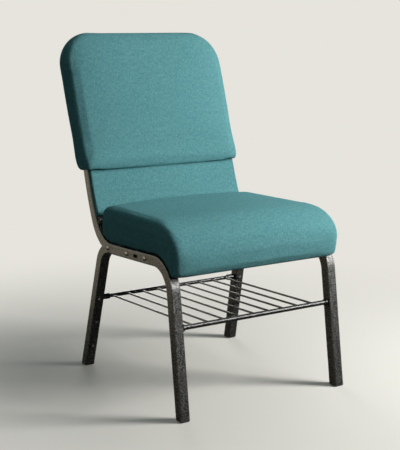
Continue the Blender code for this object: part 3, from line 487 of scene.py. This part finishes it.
def makePlywood():
    material, tree, shader, place = newMaterial("plywood")
    stretch = tree.nodes.new("ShaderNodeMapping")
    stretch.inputs["Scale"].default_value = plywoodSettings["grain"]
    tree.links.new(place.outputs["Object"], stretch.inputs["Vector"])
    grain = noise(tree, stretch.outputs[0], 1.0, 4.0, 0.6)
    split = tree.nodes.new("ShaderNodeSeparateXYZ")
    tree.links.new(place.outputs["Object"], split.inputs[0])
    plies = calc(tree, "MULTIPLY", split.outputs[2], plywoodSettings["plies"] * math.pi)
    layers = calc(tree, "SINE", plies)
    streaks = softStep(tree, grain, *plywoodSettings["grainEdge"])
    share = calc(tree, "MULTIPLY_ADD", layers, plywoodSettings["plyShare"], streaks)
    pale = linearColour(plywoodSettings["pale"])
    colour = blendColour(tree, share, pale, linearColour(plywoodSettings["dark"]))
    tree.links.new(colour, shader.inputs["Base Color"])
    gloss = calc(tree, "MULTIPLY_ADD", grain, plywoodSettings["grainGloss"], plywoodSettings["gloss"])
    tree.links.new(gloss, shader.inputs["Roughness"])
    bumpFrom(tree, shader, grain, plywoodSettings["bump"], plywoodSettings["bumpShare"])
    return material


liningSettings = {
    "dark": "121212",
    "light": "2b2b2a",
    "threads": 520.0,
    "slub": 0.03,
    "heather": (0.3, 0.7),
    "roughness": 0.88,
    "bump": 0.0003,
}


def makeLining():
    material, tree, shader, place = newMaterial("blackLining")
    weave = useGroup(tree, weaveGroup, Place=place.outputs["Object"], Facing=place.outputs["Normal"])
    weave.inputs["Threads per metre"].default_value = liningSettings["threads"]
    weave.inputs["Slub length"].default_value = liningSettings["slub"]
    heather = softStep(tree, weave.outputs["Heather"], *liningSettings["heather"])
    # Yarn shade, with painted shade: the lining is darker in the dips between threads
    share = calc(tree, "MULTIPLY", weave.outputs["Height"], heather)
    dark = linearColour(liningSettings["dark"])
    colour = blendColour(tree, share, dark, linearColour(liningSettings["light"]))
    tree.links.new(colour, shader.inputs["Base Color"])
    shader.inputs["Roughness"].default_value = liningSettings["roughness"]
    bumpFrom(tree, shader, weave.outputs["Height"], liningSettings["bump"])
    return material


finishes = {
    "teal_fabric": makeFabric(),
    "powder_coat": makeCoat("powderCoat"),
    "black_plastic": makePlastic("blackPlastic"),
    "zinc_plate": makeZinc(),
    "plywood": makePlywood(),
    "black_lining": makeLining(),
}
paintedGlintPlastic = makePlastic("paintedGlintPlastic")
rackCoat = makeCoat("rackCoat")
slotOf = {part["node"]: part["material_slot"] for part in frame["record"]["subparts"]}
for nodeName, node in nodes.items():
    node.data.materials.clear()
    node.data.materials.append(finishes[slotOf[nodeName]])
print("finishes made:", len(finishes))


def addPiece(name, mesh, slot, replaced):
    piece = bpy.data.objects.new(name, mesh)
    scene.collection.objects.link(piece)
    mesh.materials.clear()
    mesh.materials.append(finishes[slot])
    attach(piece, "root")
    if replaced:
        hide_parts(*replaced)
    return piece


# Cushions: the form is remeshed, softened and padded out, then swelled by cloth pressure where it is free
seatSettings = {
    "node": "seat_cushion",
    "voxel": 0.0052,
    "held": (0.004, 0.014),  # gaps to the frame at which the cloth is held and at which it is free
    "reach": [],
    "reachHeld": True,
    "soften": 4,
    "padOut": 0.001,
    "edge": 0.003,
    "settle": 4,
    "pressure": 4.0,
    "cap": 0.002,
    "sink": 0.0004,
    "fill": 0.85,
}
upperBackSettings = {
    "node": "upper_back_cushion",
    "voxel": 0.006,
    "held": (0.002, 0.006),
    "reach": [((0.0, -0.65, -0.76), 0.03, 0.018), ((-0.72, 0.223, 0.657), 0.035, 0.005)],
    "reachHeld": True,
    "soften": 10,
    "padOut": 0.002,
    "edge": 0.003,
    "settle": 2,
    "pressure": 4.0,
    "cap": 0.003,
    "sink": 0.0004,
    "fill": 0.8,
}
lowerPanelSettings = {
    "node": "lower_back_pad",
    "voxel": 0.003,
    "held": (0.004, 0.014),
    "reach": [((0.0, 0.322, 0.947), 0.012, 0.001)],
    "reachHeld": False,
    "soften": 4,
    "padOut": 0.0,
    "edge": 0.0,
    "settle": 0,
    "pressure": 3.0,
    "cap": 0.0015,
    "sink": 0.0003,
    "fill": 0.9,
}
clothSettings = {"frames": 8, "quality": 5, "slide": 0.4, "smoothing": 0.5}
mergeGap = {"copied": 0.00002, "turned": 0.000002}


def evaluatedMesh(piece):
    graph = bpy.context.evaluated_depsgraph_get()
    return bpy.data.meshes.new_from_object(piece.evaluated_get(graph))


def swapMesh(piece, mesh):
    old = piece.data
    piece.modifiers.clear()
    piece.data = mesh
    bpy.data.meshes.remove(old)


def remeshedCopy(name, settings):
    mesh = nodes[settings["node"]].data.copy()
    shape = bmesh.new()
    shape.from_mesh(mesh)
    bmesh.ops.remove_doubles(shape, verts=shape.verts, dist=mergeGap["copied"])
    shape.to_mesh(mesh)
    shape.free()
    piece = addPiece(name, mesh, "teal_fabric", [settings["node"]])
    voxels = piece.modifiers.new("voxels", "REMESH")
    voxels.mode = "VOXEL"
    voxels.voxel_size = settings["voxel"]
    swapMesh(piece, evaluatedMesh(piece))
    return piece


frameTriangles = [[], []]
for nodeName, node in nodes.items():
    if slotOf[nodeName] != "teal_fabric":
        start = len(frameTriangles[0])
        frameTriangles[0].extend(vertex.co for vertex in node.data.vertices)
        frameTriangles[1].extend([start + i for i in face.vertices] for face in node.data.polygons)
frameTree = BVHTree.FromPolygons(*frameTriangles)


def holdAtFrame(piece, settings):
    near, far = settings["held"]
    group = piece.vertex_groups.new(name="held")
    loose = []
    for vertex in piece.data.vertices:
        found = frameTree.find_nearest(vertex.co, far)
        gap = found[3] if found[0] is not None else far
        free = min(max((gap - near) / (far - near), 0.0), 1.0)
        group.add([vertex.index], 1.0 - free, "REPLACE")
        loose.append(free)
    return loose


# Upholstery reaches past the plain form at an edge: which way, over what band, how far. Where it is held,
# the frame keeps it from reaching
def reachOut(shape, settings, loose):
    for way, band, amount in settings["reach"]:
        outward = Vector(way)
        limit = max(vertex.co.dot(outward) for vertex in shape.verts)
        for vertex, share in zip(shape.verts, loose):
            near = max(1.0 - (limit - vertex.co.dot(outward)) / band, 0.0)
            free = share if settings["reachHeld"] else 1.0
            vertex.co += outward * amount * near * (2.0 - near) * free


def smoothOver(shape, free, times):
    for _ in range(times):
        bmesh.ops.smooth_vert(
            shape, verts=free, factor=clothSettings["smoothing"], use_axis_x=True, use_axis_y=True,
            use_axis_z=True,
        )


def softenAndPadOut(piece, settings, loose):
    shape = bmesh.new()
    shape.from_mesh(piece.data)
    shape.verts.ensure_lookup_table()
    reachOut(shape, settings, loose)
    free = [shape.verts[i] for i, share in enumerate(loose) if share > 0.5]
    smoothOver(shape, free, settings["soften"])
    shape.normal_update()
    for vertex, share in zip(shape.verts, loose):
        # Fullest where the sides turn into the top and front, so that these edges stay crisp
        turn = 2.0 * abs(vertex.normal.x) * math.sqrt(max(1.0 - vertex.normal.x ** 2, 0.0))
        vertex.co += vertex.normal * (settings["padOut"] + settings["edge"] * turn) * share
    smoothOver(shape, free, settings["settle"])
    shape.to_mesh(piece.data)
    shape.free()


def addStuffing(piece, settings):
    cloth = piece.modifiers.new("stuffing", "CLOTH")
    cloth.settings.quality = clothSettings["quality"]
    cloth.settings.use_pressure = True
    cloth.settings.uniform_pressure_force = settings["pressure"]
    cloth.settings.effector_weights.gravity = 0
    cloth.settings.vertex_group_mass = "held"
    cloth.collision_settings.use_collision = False
    cloth.point_cache.frame_start = 1
    cloth.point_cache.frame_end = clothSettings["frames"]


def capSwelling(piece, settings):
    swelled = evaluatedMesh(piece)
    outward = [vertex.normal.copy() for vertex in piece.data.vertices]
    for before, after, normal in zip(piece.data.vertices, swelled.vertices, outward):
        move = after.co - before.co
        out = move.dot(normal)
        slide = (move - normal * out) * clothSettings["slide"]
        after.co = before.co + slide + normal * min(max(out, -settings["sink"]), settings["cap"])
    swapMesh(piece, swelled)


def finishCushion(piece):
    piece.data.polygons.foreach_set("use_smooth", [True] * len(piece.data.polygons))
    rounding = piece.modifiers.new("rounding", "SUBSURF")
    rounding.levels = 1
    rounding.render_levels = 1


cushions = [
    (remeshedCopy("seatCushion", seatSettings), seatSettings),
    (remeshedCopy("upperBackCushion", upperBackSettings), upperBackSettings),
    (remeshedCopy("lowerBackPanel", lowerPanelSettings), lowerPanelSettings),
]
for piece, settings in cushions:
    softenAndPadOut(piece, settings, holdAtFrame(piece, settings))
    addStuffing(piece, settings)
for number in range(1, clothSettings["frames"] + 1):
    scene.frame_set(number)
for piece, settings in cushions:
    capSwelling(piece, settings)
scene.frame_set(1)

for piece, settings in cushions:
    finishCushion(piece)
print("cushions stuffed:", [len(piece.data.polygons) for piece, _ in cushions])


# Hard pieces: helpers to turn, place, cut and finish them
def meshFrom(shape, name):
    mesh = bpy.data.meshes.new(name)
    shape.to_mesh(mesh)
    shape.free()
    return mesh


def cutAway(piece, shape):
    cutter = bpy.data.objects.new("cutter", meshFrom(shape, "cutter"))
    scene.collection.objects.link(cutter)
    difference = piece.modifiers.new("cut", "BOOLEAN")
    difference.operation = "DIFFERENCE"
    difference.solver = "EXACT"
    difference.object = cutter
    swapMesh(piece, evaluatedMesh(piece))
    bpy.data.objects.remove(cutter)


def finishHard(piece, sharpAbove=38):
    piece.data.polygons.foreach_set("use_smooth", [True] * len(piece.data.polygons))
    piece.data.set_sharp_from_angle(angle=math.radians(sharpAbove))
    even = piece.modifiers.new("evenShading", "WEIGHTED_NORMAL")
    even.keep_sharp = True


def turnedShape(profile, steps):
    shape = bmesh.new()
    points = [shape.verts.new((radius, 0.0, height)) for radius, height in profile]
    line = [shape.edges.new(pair) for pair in zip(points, points[1:])]
    bmesh.ops.spin(
        shape, geom=points + line, cent=(0, 0, 0), axis=(0, 0, 1), dvec=(0, 0, 0), angle=2 * math.pi,
        steps=steps, use_merge=True,
    )
    bmesh.ops.remove_doubles(shape, verts=shape.verts, dist=mergeGap["turned"])
    bmesh.ops.recalc_face_normals(shape, faces=shape.faces)
    return shape


def placeShape(shape, point, way):
    turn = way.to_track_quat("Z", "Y").to_matrix().to_4x4()
    bmesh.ops.transform(shape, matrix=Matrix.Translation(point) @ turn, verts=shape.verts)


tipDepth = 0.00006


# Middle of a node's farthest end in a direction
def endOf(nodeName, way):
    places = {tuple(round(c, 6) for c in vertex.co) for vertex in nodes[nodeName].data.vertices}
    reach = max(Vector(place).dot(way) for place in places)
    tip = [Vector(place) for place in places if reach - Vector(place).dot(way) < tipDepth]
    return sum(tip, Vector()) / len(tip)


# Square tubes: a rounded square runs straight, is spun round each bend, and leans with its side
tubeSettings = {
    "width": 0.025,
    "corner": 0.003,
    "cornerSteps": 4,
    "glide": 0.006,
    "bendStep": 4.0,  # degrees
    "leastSteps": 6,
}
sideTubeSettings = {
    "foot": (-0.301583, 0.0),
    "heading": 81.0,
    "moves": [(0.0, 0.290781), (0.07, -85.4), (0.0, 0.2145), (0.1, 67.4), (0.6, 8.2), (0.0, 0.345)],
    "lean": (0.224553, -0.042929, 0.002526),  # half width at the origin, and how it changes with y and z
    "slotAt": (-0.095342, 0.339408),
    "slotTurn": -4.4,
    "slot": (0.022, 0.008),
    "slotDepth": 0.008,
    "slotRound": 0.499,  # share of the slot's height
}
rearLegSettings = {
    "foot": (0.159917, 0.0),
    "heading": 102.4,
    "moves": [(0.0, 0.294512), (0.052, 62.0), (0.0, 0.012)],
    "lean": (0.2375, 0.0, -0.043022),
}


def sweptTube(settings, side):
    shape = bmesh.new()
    half = tubeSettings["width"] / 2
    bmesh.ops.create_grid(shape, x_segments=1, y_segments=1, size=half)
    bmesh.ops.bevel(
        shape, geom=shape.verts[:], offset=tubeSettings["corner"], offset_type="OFFSET",
        segments=tubeSettings["cornerSteps"], profile=0.5, affect="VERTICES", material=-1,
    )
    bmesh.ops.delete(shape, geom=shape.faces[:], context="FACES_ONLY")
    heading = math.radians(settings["heading"])
    place = Vector((0.0, *settings["foot"]))
    upright = Matrix.Translation(place) @ Matrix.Rotation(heading - math.pi / 2, 4, "X")
    bmesh.ops.transform(shape, matrix=upright, verts=shape.verts)
    ring = shape.edges[:]
    for radius, amount in settings["moves"]:
        ahead = Vector((0.0, math.cos(heading), math.sin(heading)))
        if radius == 0.0:
            grown = bmesh.ops.extrude_edge_only(shape, edges=ring)["geom"]
            tip = {item for item in grown if isinstance(item, bmesh.types.BMVert)}
            bmesh.ops.translate(shape, vec=ahead * amount, verts=list(tip))
            place = place + ahead * amount
        else:
            way = math.copysign(1.0, amount)
            centre = place + Vector((0.0, -ahead.z, ahead.y)) * radius * way
            angle = math.radians(abs(amount))
            corners = list({vertex for edge in ring for vertex in edge.verts})
            grown = bmesh.ops.spin(
                shape, geom=corners + ring, cent=centre, axis=(way, 0, 0), dvec=(0, 0, 0), angle=angle,
                steps=max(tubeSettings["leastSteps"], round(abs(amount) / tubeSettings["bendStep"])),
            )["geom_last"]
            tip = {item for item in grown if isinstance(item, bmesh.types.BMVert)}
            place = centre + Matrix.Rotation(way * angle, 3, "X") @ (place - centre)
            heading += way * angle
        ring = [edge for edge in shape.edges if edge.verts[0] in tip and edge.verts[1] in tip]
    base, perY, perZ = settings["lean"]
    across = (side, side * perY, side * perZ, side * (base - half))
    lean = Matrix((across, (0, 1, 0, 0), (0, 0, 1, 0), (0, 0, 0, 1)))
    bmesh.ops.transform(shape, matrix=lean, verts=shape.verts)
    everything = shape.verts[:] + shape.edges[:] + shape.faces[:]
    floorEnd = (0, 0, tubeSettings["glide"])
    bmesh.ops.bisect_plane(
        shape, geom=everything, plane_co=floorEnd, plane_no=(0, 0, -1), clear_outer=True
    )
    bmesh.ops.holes_fill(shape, edges=[edge for edge in shape.edges if edge.is_boundary], sides=0)
    bmesh.ops.recalc_face_normals(shape, faces=shape.faces)
    return shape


def railSlot(settings, side):
    shape = bmesh.new()
    bmesh.ops.create_cube(shape, size=1.0)
    long, high = settings["slot"]
    through = 2 * settings["slotDepth"]
    bmesh.ops.scale(shape, vec=(through, long, high), verts=shape.verts)
    ends = [edge for edge in shape.edges if abs(edge.verts[0].co.x - edge.verts[1].co.x) > through / 2]
    bmesh.ops.bevel(
        shape, geom=ends, offset=high * settings["slotRound"], offset_type="OFFSET", segments=8, profile=0.5,
        affect="EDGES", material=-1,
    )
    turn = Matrix.Rotation(math.radians(settings["slotTurn"]), 3, "X")
    bmesh.ops.rotate(shape, cent=(0, 0, 0), matrix=turn, verts=shape.verts)
    base, perY, perZ = settings["lean"]
    y, z = settings["slotAt"]
    bmesh.ops.translate(shape, vec=(side * (base + perY * y + perZ * z), y, z), verts=shape.verts)
    return shape


# Weld beads: rows of small ripples where one tube meets another
weldSettings = {
    "radius": 0.0021,
    "ripple": 0.0013,
    "dip": 0.8,  # radius between ripples, as a share
    "shortBy": 0.003,
    "touch": 0.0001,
    "band": 0.004,
    "steps": 10,
    "sharpAbove": 60,
}
weldShape = bmesh.new()


def addBead(start, end):
    length = (end - start).length
    count = 2 * max(3, round(length / weldSettings["ripple"] / 2))
    swells = [weldSettings["radius"] * (1.0 if i % 2 else weldSettings["dip"]) for i in range(1, count)]
    profile = [(radius, length * (i + 1) / count) for i, radius in enumerate(swells)]
    bead = turnedShape([(0.0, 0.0), *profile, (0.0, length)], weldSettings["steps"])
    placeShape(bead, start, end - start)
    mesh = meshFrom(bead, "bead")
    weldShape.from_mesh(mesh)
    bpy.data.meshes.remove(mesh)


def beadAcross(places):
    near = min(places, key=lambda place: place.x)
    far = max(places, key=lambda place: place.x)
    short = Vector((weldSettings["shortBy"], 0.0, 0.0))
    addBead(near + short, far - short)


for word, side in (("left", -1), ("right", 1)):
    tubeMesh = meshFrom(sweptTube(sideTubeSettings, side), word + "SideTube")
    sideTube = addPiece(word + "SideTube", tubeMesh, "powder_coat", [word + "_side_tube"])
    legMesh = meshFrom(sweptTube(rearLegSettings, side), word + "RearLeg")
    rearLeg = addPiece(word + "RearLeg", legMesh, "powder_coat", [word + "_rear_leg"])
    cutAway(rearLeg, sweptTube(sideTubeSettings, side))
    tubeTree = BVHTree.FromPolygons(
        [vertex.co for vertex in sideTube.data.vertices], [face.vertices for face in sideTube.data.polygons]
    )
    touch, band = weldSettings["touch"], weldSettings["band"]
    touching = [v.co for v in rearLeg.data.vertices if tubeTree.find_nearest(v.co)[3] < touch]
    rearmost = max(place.y for place in touching)
    frontmost = min(place.y for place in touching)
    beadAcross([place for place in touching if rearmost - place.y < band])
    beadAcross([place for place in touching if place.y - frontmost < band])
    cutAway(sideTube, railSlot(sideTubeSettings, side))
    finishHard(sideTube)
    finishHard(rearLeg)

# Cross rails: middle of the section, its turn, half its width, and the node that gives its ends
crossRailWelds = [
    ((-0.175604, 0.345584), -4.4, 0.011, "front_seat_cross_rail"),
    ((0.166307, 0.474289), 71.2, 0.011, "lower_back_cross_rail"),
]
for (y, z), turn, half, nodeName in crossRailWelds:
    ahead = Vector((0.0, math.cos(math.radians(turn)), math.sin(math.radians(turn))))
    beside = Vector((0.0, -ahead.z, ahead.y))
    for side in (-1, 1):
        end = endOf(nodeName, Vector((side, 0.0, 0.0)))
        middle = Vector((end.x, y, z))
        for out, run in ((ahead, beside), (-ahead, beside), (beside, ahead), (-beside, ahead)):
            edge = middle + out * half
            reach = run * (half - weldSettings["shortBy"])
            addBead(edge - reach, edge + reach)
welds = addPiece("frameWelds", meshFrom(weldShape, "frameWelds"), "powder_coat", [])
finishHard(welds, weldSettings["sharpAbove"])
print("tubes bent and welded")


# Fasteners: turned heads with their recess pressed in
fastenerSettings = {
    "bolt": {
        "radius": 0.0055, "height": 0.0035, "shank": 0.003, "length": 0.028, "recess": 0.0024, "sides": 6,
    },
    "screw": {
        "radius": 0.004, "height": 0.0024, "shank": 0.002, "length": 0.008, "recess": 0.0024, "sides": 4,
    },
    "setScrew": {
        "radius": 0.0045, "height": 0.0024, "shank": 0.0025, "length": 0.007, "recess": 0.0026, "sides": 4,
    },
    "plug": {
        "radius": 0.004, "height": 0.0012, "shank": 0.003, "length": 0.003, "recess": 0.0, "sides": 0,
    },
}
# Shares of the head's or the recess's radius, and of the head's height
headSettings = {
    "dome": [(1.0, 0.12), (0.94, 0.34), (0.82, 0.62), (0.68, 0.83), (0.55, 0.94)],
    "recess": [(1.04, 1.0), (1.0, 0.96), (0.9, 0.36), (0.0, 0.3)],
    "crown": [(0.3, 1.0), (0.0, 1.0)],
    "pressedBelow": 1.02,
    "crossSlot": 0.36,
    "crossPower": 5,
    "steps": 48,
    "sharpAbove": 50,
}


def headProfile(settings):
    radius, height, shank = settings["radius"], settings["height"], settings["shank"]
    recess = settings["recess"]
    profile = [(0.0, -settings["length"]), (shank, -settings["length"]), (shank, 0.0), (radius, 0.0)]
    profile += [(radius * out, height * up) for out, up in headSettings["dome"]]
    if recess:
        return profile + [(recess * out, height * up) for out, up in headSettings["recess"]]
    return profile + [(radius * out, height * up) for out, up in headSettings["crown"]]


def pressRecess(shape, settings):
    floorUp = headSettings["recess"][-1][1]
    for vertex in shape.verts:
        out = vertex.co.xy.length
        if vertex.co.z < settings["height"] * floorUp:
            continue
        if not 0.0 < out < settings["recess"] * headSettings["pressedBelow"]:
            continue
        angle = math.atan2(vertex.co.y, vertex.co.x)
        if settings["sides"] == 6:
            pull = math.cos(math.pi / 6) / math.cos(angle % (math.pi / 3) - math.pi / 6)
        else:
            slot = headSettings["crossSlot"]
            pull = slot + (1 - slot) * abs(math.cos(2 * angle)) ** headSettings["crossPower"]
        vertex.co.x *= pull
        vertex.co.y *= pull


def makeFastener(name, nodeName, kind, outward, slot):
    settings = fastenerSettings[kind]
    shape = turnedShape(headProfile(settings), headSettings["steps"])
    if settings["recess"]:
        pressRecess(shape, settings)
    placeShape(shape, endOf(nodeName, outward) - outward * settings["height"], outward)
    piece = addPiece(name, meshFrom(shape, name), slot, [nodeName])
    finishHard(piece, headSettings["sharpAbove"])
    return piece


def tilted(heading):
    return Vector((0.0, -math.sin(math.radians(heading)), math.cos(math.radians(heading))))


outwards = {
    "seatScrew": -tilted(sideTubeSettings["slotTurn"]),
    "panelScrew": tilted(60.347),
    "rearLeg": tilted(rearLegSettings["heading"]),
}
for word, side in (("left", -1), ("right", 1)):
    for place in ("front", "middle", "rear"):
        nodeName = f"{word}_{place}_rail_bolt"
        makeFastener(f"{word}RailBolt.{place}", nodeName, "bolt", Vector((side, 0, 0)), "zinc_plate")
    for place in ("front", "rear"):
        nodeName = f"{word}_{place}_seat_screw"
        makeFastener(f"{word}SeatScrew.{place}", nodeName, "screw", outwards["seatScrew"], "zinc_plate")
    nodeName = f"{word}_lower_panel_screw"
    makeFastener(f"{word}PanelScrew", nodeName, "screw", outwards["panelScrew"], "zinc_plate")
    nodeName = f"{word}_rack_set_screw"
    makeFastener(f"{word}RackScrew", nodeName, "setScrew", outwards["rearLeg"], "zinc_plate")
    for number in (1, 2):
        nodeName = f"{word}_leg_plug_{number}"
        pieceName = f"{word}LegPlug.{number}"
        legPlug = makeFastener(pieceName, nodeName, "plug", outwards["rearLeg"], "black_plastic")
        # The plugs get the light grey plastic: a painted highlight
        legPlug.data.materials[0] = paintedGlintPlastic
print("fasteners turned")


# Book rack: round rails held in collars, thin wires welded between them
rackSettings = {
    "frontRail": 0.006,
    "rearRail": 0.005,
    "wire": 0.0025,
    "wires": 9,
    "collarWall": 0.0025,
    "chamfer": 0.0007,
    "flare": 0.0016,
    "flareOutline": [(1.0, 0.0), (0.45, 0.5), (0.1, 1.5), (0.0, 2.6)],  # out and along, in flares
    "steps": 24,
    "sharpAbove": 50,
}


def rodProfile(radius, length, flare):
    chamfer = rackSettings["chamfer"]
    if flare:
        outline = [(radius + flare * out, flare * along) for out, along in rackSettings["flareOutline"]]
    else:
        outline = [(radius - chamfer, 0.0), (radius, chamfer)]
    foot = [(0.0, 0.0), *outline]
    return foot + [(out, length - along) for out, along in reversed(foot)]


def makeRod(name, nodeName, way, radius, flare=0.0):
    start = endOf(nodeName, -way)
    length = (endOf(nodeName, way) - start).length
    shape = turnedShape(rodProfile(radius, length, flare), rackSettings["steps"])
    placeShape(shape, start, way)
    piece = addPiece(name, meshFrom(shape, name), "powder_coat", [nodeName])
    piece.data.materials[0] = rackCoat
    finishHard(piece, rackSettings["sharpAbove"])


sideways = Vector((1.0, 0.0, 0.0))
makeRod("rackFrontRail", "rack_front_rail", sideways, rackSettings["frontRail"])
makeRod("rackRearRail", "rack_rear_rail", sideways, rackSettings["rearRail"])
railLine = endOf("rack_rear_rail", sideways) - endOf("rack_front_rail", sideways)
backwards = Vector((0.0, railLine.y, railLine.z)).normalized()
for number in range(1, rackSettings["wires"] + 1):
    nodeName = f"rack_wire_{number}"
    makeRod(f"rackWire.{number}", nodeName, backwards, rackSettings["wire"], rackSettings["flare"])
for place in ("front", "rear"):
    for word in ("left", "right"):
        radius = rackSettings[place + "Rail"] + rackSettings["collarWall"]
        makeRod(f"rackCollar.{place}.{word}", f"rack_{place}_{word}_collar", sideways, radius)
print("rack made")


# Stage: a pale floor that fades into the pale backdrop all round
stageSettings = {
    "floor": "d6d4ce",
    "bounce": "5f5e5b",
    "backdrop": "e6e4dd",
    "card": "f2e4c2",
    "size": 24.0,
    "drop": 0.0004,
    "fade": (0.2, 1.4),
    "pale": (0.6, 1.5),
    "behind": (-0.1, 0.7),
    "cardEdge": (-0.9, -0.25),
}


def makeStage():
    shape = bmesh.new()
    bmesh.ops.create_circle(shape, cap_ends=True, radius=stageSettings["size"], segments=64)
    bmesh.ops.translate(shape, vec=(0, 0, -stageSettings["drop"]), verts=shape.verts)
    mesh = meshFrom(shape, "stage")
    stage = bpy.data.objects.new("stage", mesh)
    scene.collection.objects.link(stage)
    material, tree, shader, place = newMaterial("stagePaint")
    ray = tree.nodes.new("ShaderNodeLightPath")
    split = tree.nodes.new("ShaderNodeSeparateXYZ")
    tree.links.new(place.outputs["Object"], split.inputs[0])
    distance = tree.nodes.new("ShaderNodeVectorMath")
    distance.operation = "LENGTH"
    tree.links.new(place.outputs["Object"], distance.inputs[0])
    far = softStep(tree, distance.outputs["Value"], *stageSettings["fade"])
    # Reflections see the stage dark near the object and in front of it, and pale farther off
    behind = softStep(tree, split.outputs[1], *stageSettings["behind"])
    fartherOff = softStep(tree, distance.outputs["Value"], *stageSettings["pale"])
    behind = calc(tree, "MULTIPLY", behind, fartherOff)
    mirrored = calc(tree, "MULTIPLY", ray.outputs["Is Glossy Ray"], behind)
    seen = calc(tree, "MAXIMUM", ray.outputs["Is Camera Ray"], ray.outputs["Is Transmission Ray"])
    seen = calc(tree, "MAXIMUM", seen, mirrored)
    black = (0.0, 0.0, 0.0, 1.0)
    painted = blendColour(tree, far, linearColour(stageSettings["floor"]), black)
    colour = blendColour(tree, seen, linearColour(stageSettings["bounce"]), painted)
    tree.links.new(colour, shader.inputs["Base Color"])
    farSeen = calc(tree, "MULTIPLY", far, seen)
    glow = blendColour(tree, farSeen, black, linearColour(stageSettings["backdrop"]))
    # Warm light from the left rear, in reflections only
    rightSide = softStep(tree, split.outputs[0], *stageSettings["cardEdge"])
    leftSide = calc(tree, "MULTIPLY", calc(tree, "SUBTRACT", 1.0, rightSide), mirrored)
    glow = blendColour(tree, leftSide, glow, linearColour(stageSettings["card"]))
    tree.links.new(glow, shader.inputs["Emission Color"])
    shader.inputs["Emission Strength"].default_value = 1.0
    shader.inputs["Specular IOR Level"].default_value = 0.0
    shader.inputs["Roughness"].default_value = 1.0
    # Seen from below, the floor is clear
    below = tree.nodes.new("ShaderNodeNewGeometry").outputs["Backfacing"]
    clear = tree.nodes.new("ShaderNodeBsdfTransparent")
    either = tree.nodes.new("ShaderNodeMixShader")
    tree.links.new(calc(tree, "MULTIPLY", below, ray.outputs["Is Camera Ray"]), either.inputs[0])
    tree.links.new(shader.outputs[0], either.inputs[1])
    tree.links.new(clear.outputs[0], either.inputs[2])
    tree.links.new(either.outputs[0], tree.nodes["Material Output"].inputs["Surface"])
    mesh.materials.append(material)


lampSettings = {
    "key": {"place": (1.6, -1.25, 1.25), "size": 0.7, "power": 68.0, "colour": (1.0, 0.985, 0.96)},
    "top": {"place": (0.95, -1.15, 2.1), "size": 0.5, "power": 7.0, "colour": (0.98, 0.99, 1.0)},
    "rear": {"place": (0.9, 2.2, 0.75), "size": 1.0, "power": 20.0, "colour": (1.0, 0.99, 0.97)},
    "glint": {"place": (0.95, -2.05, 1.1), "size": 0.3, "power": 29.0, "colour": (1.0, 0.99, 0.98)},
}
lampAim = (0.0, -0.05, 0.45)
# The sky in reflections is warm on the left and cool on the right; all else sees an even fill
skySettings = {
    "warm": "f3e3c8",
    "cool": "d0e8ec",
    "left": 2.2,
    "right": 0.3,
    "edge": (-0.6, 0.2),
    "fill": 0.135,
}


def makeLights():
    for name, given in lampSettings.items():
        data = bpy.data.lights.new(name, "AREA")
        data.shape = "DISK"
        data.size = given["size"]
        data.energy = given["power"]
        data.color = given["colour"]
        lamp = bpy.data.objects.new(name, data)
        lamp.visible_diffuse = name != "glint"  # the glint only shows in gloss
        lamp.location = given["place"]
        aim = Vector(lampAim) - lamp.location
        lamp.rotation_euler = aim.to_track_quat("-Z", "Y").to_euler()
        scene.collection.objects.link(lamp)
    world = bpy.data.worlds.new("studio")
    scene.world = world
    world.use_nodes = True
    tree = world.node_tree
    background = tree.nodes["Background"]
    around = tree.nodes.new("ShaderNodeTexCoord")
    split = tree.nodes.new("ShaderNodeSeparateXYZ")
    tree.links.new(around.outputs["Generated"], split.inputs[0])
    ray = tree.nodes.new("ShaderNodeLightPath")
    mirrored = ray.outputs["Is Glossy Ray"]
    seen = calc(tree, "MAXIMUM", ray.outputs["Is Camera Ray"], ray.outputs["Is Transmission Ray"])
    toRight = softStep(tree, split.outputs[0], *skySettings["edge"])
    toLeft = calc(tree, "MULTIPLY", calc(tree, "SUBTRACT", 1.0, toRight), mirrored)
    colour = blendColour(tree, toLeft, linearColour(skySettings["cool"]), linearColour(skySettings["warm"]))
    colour = blendColour(tree, seen, colour, linearColour(stageSettings["backdrop"]))
    tree.links.new(colour, background.inputs["Color"])
    gloss = blendValue(tree, toLeft, skySettings["right"], skySettings["left"])
    level = blendValue(tree, mirrored, skySettings["fill"], gloss)
    tree.links.new(blendValue(tree, seen, level, 1.0), background.inputs["Strength"])


makeStage()
makeLights()
print("stage and lights set")
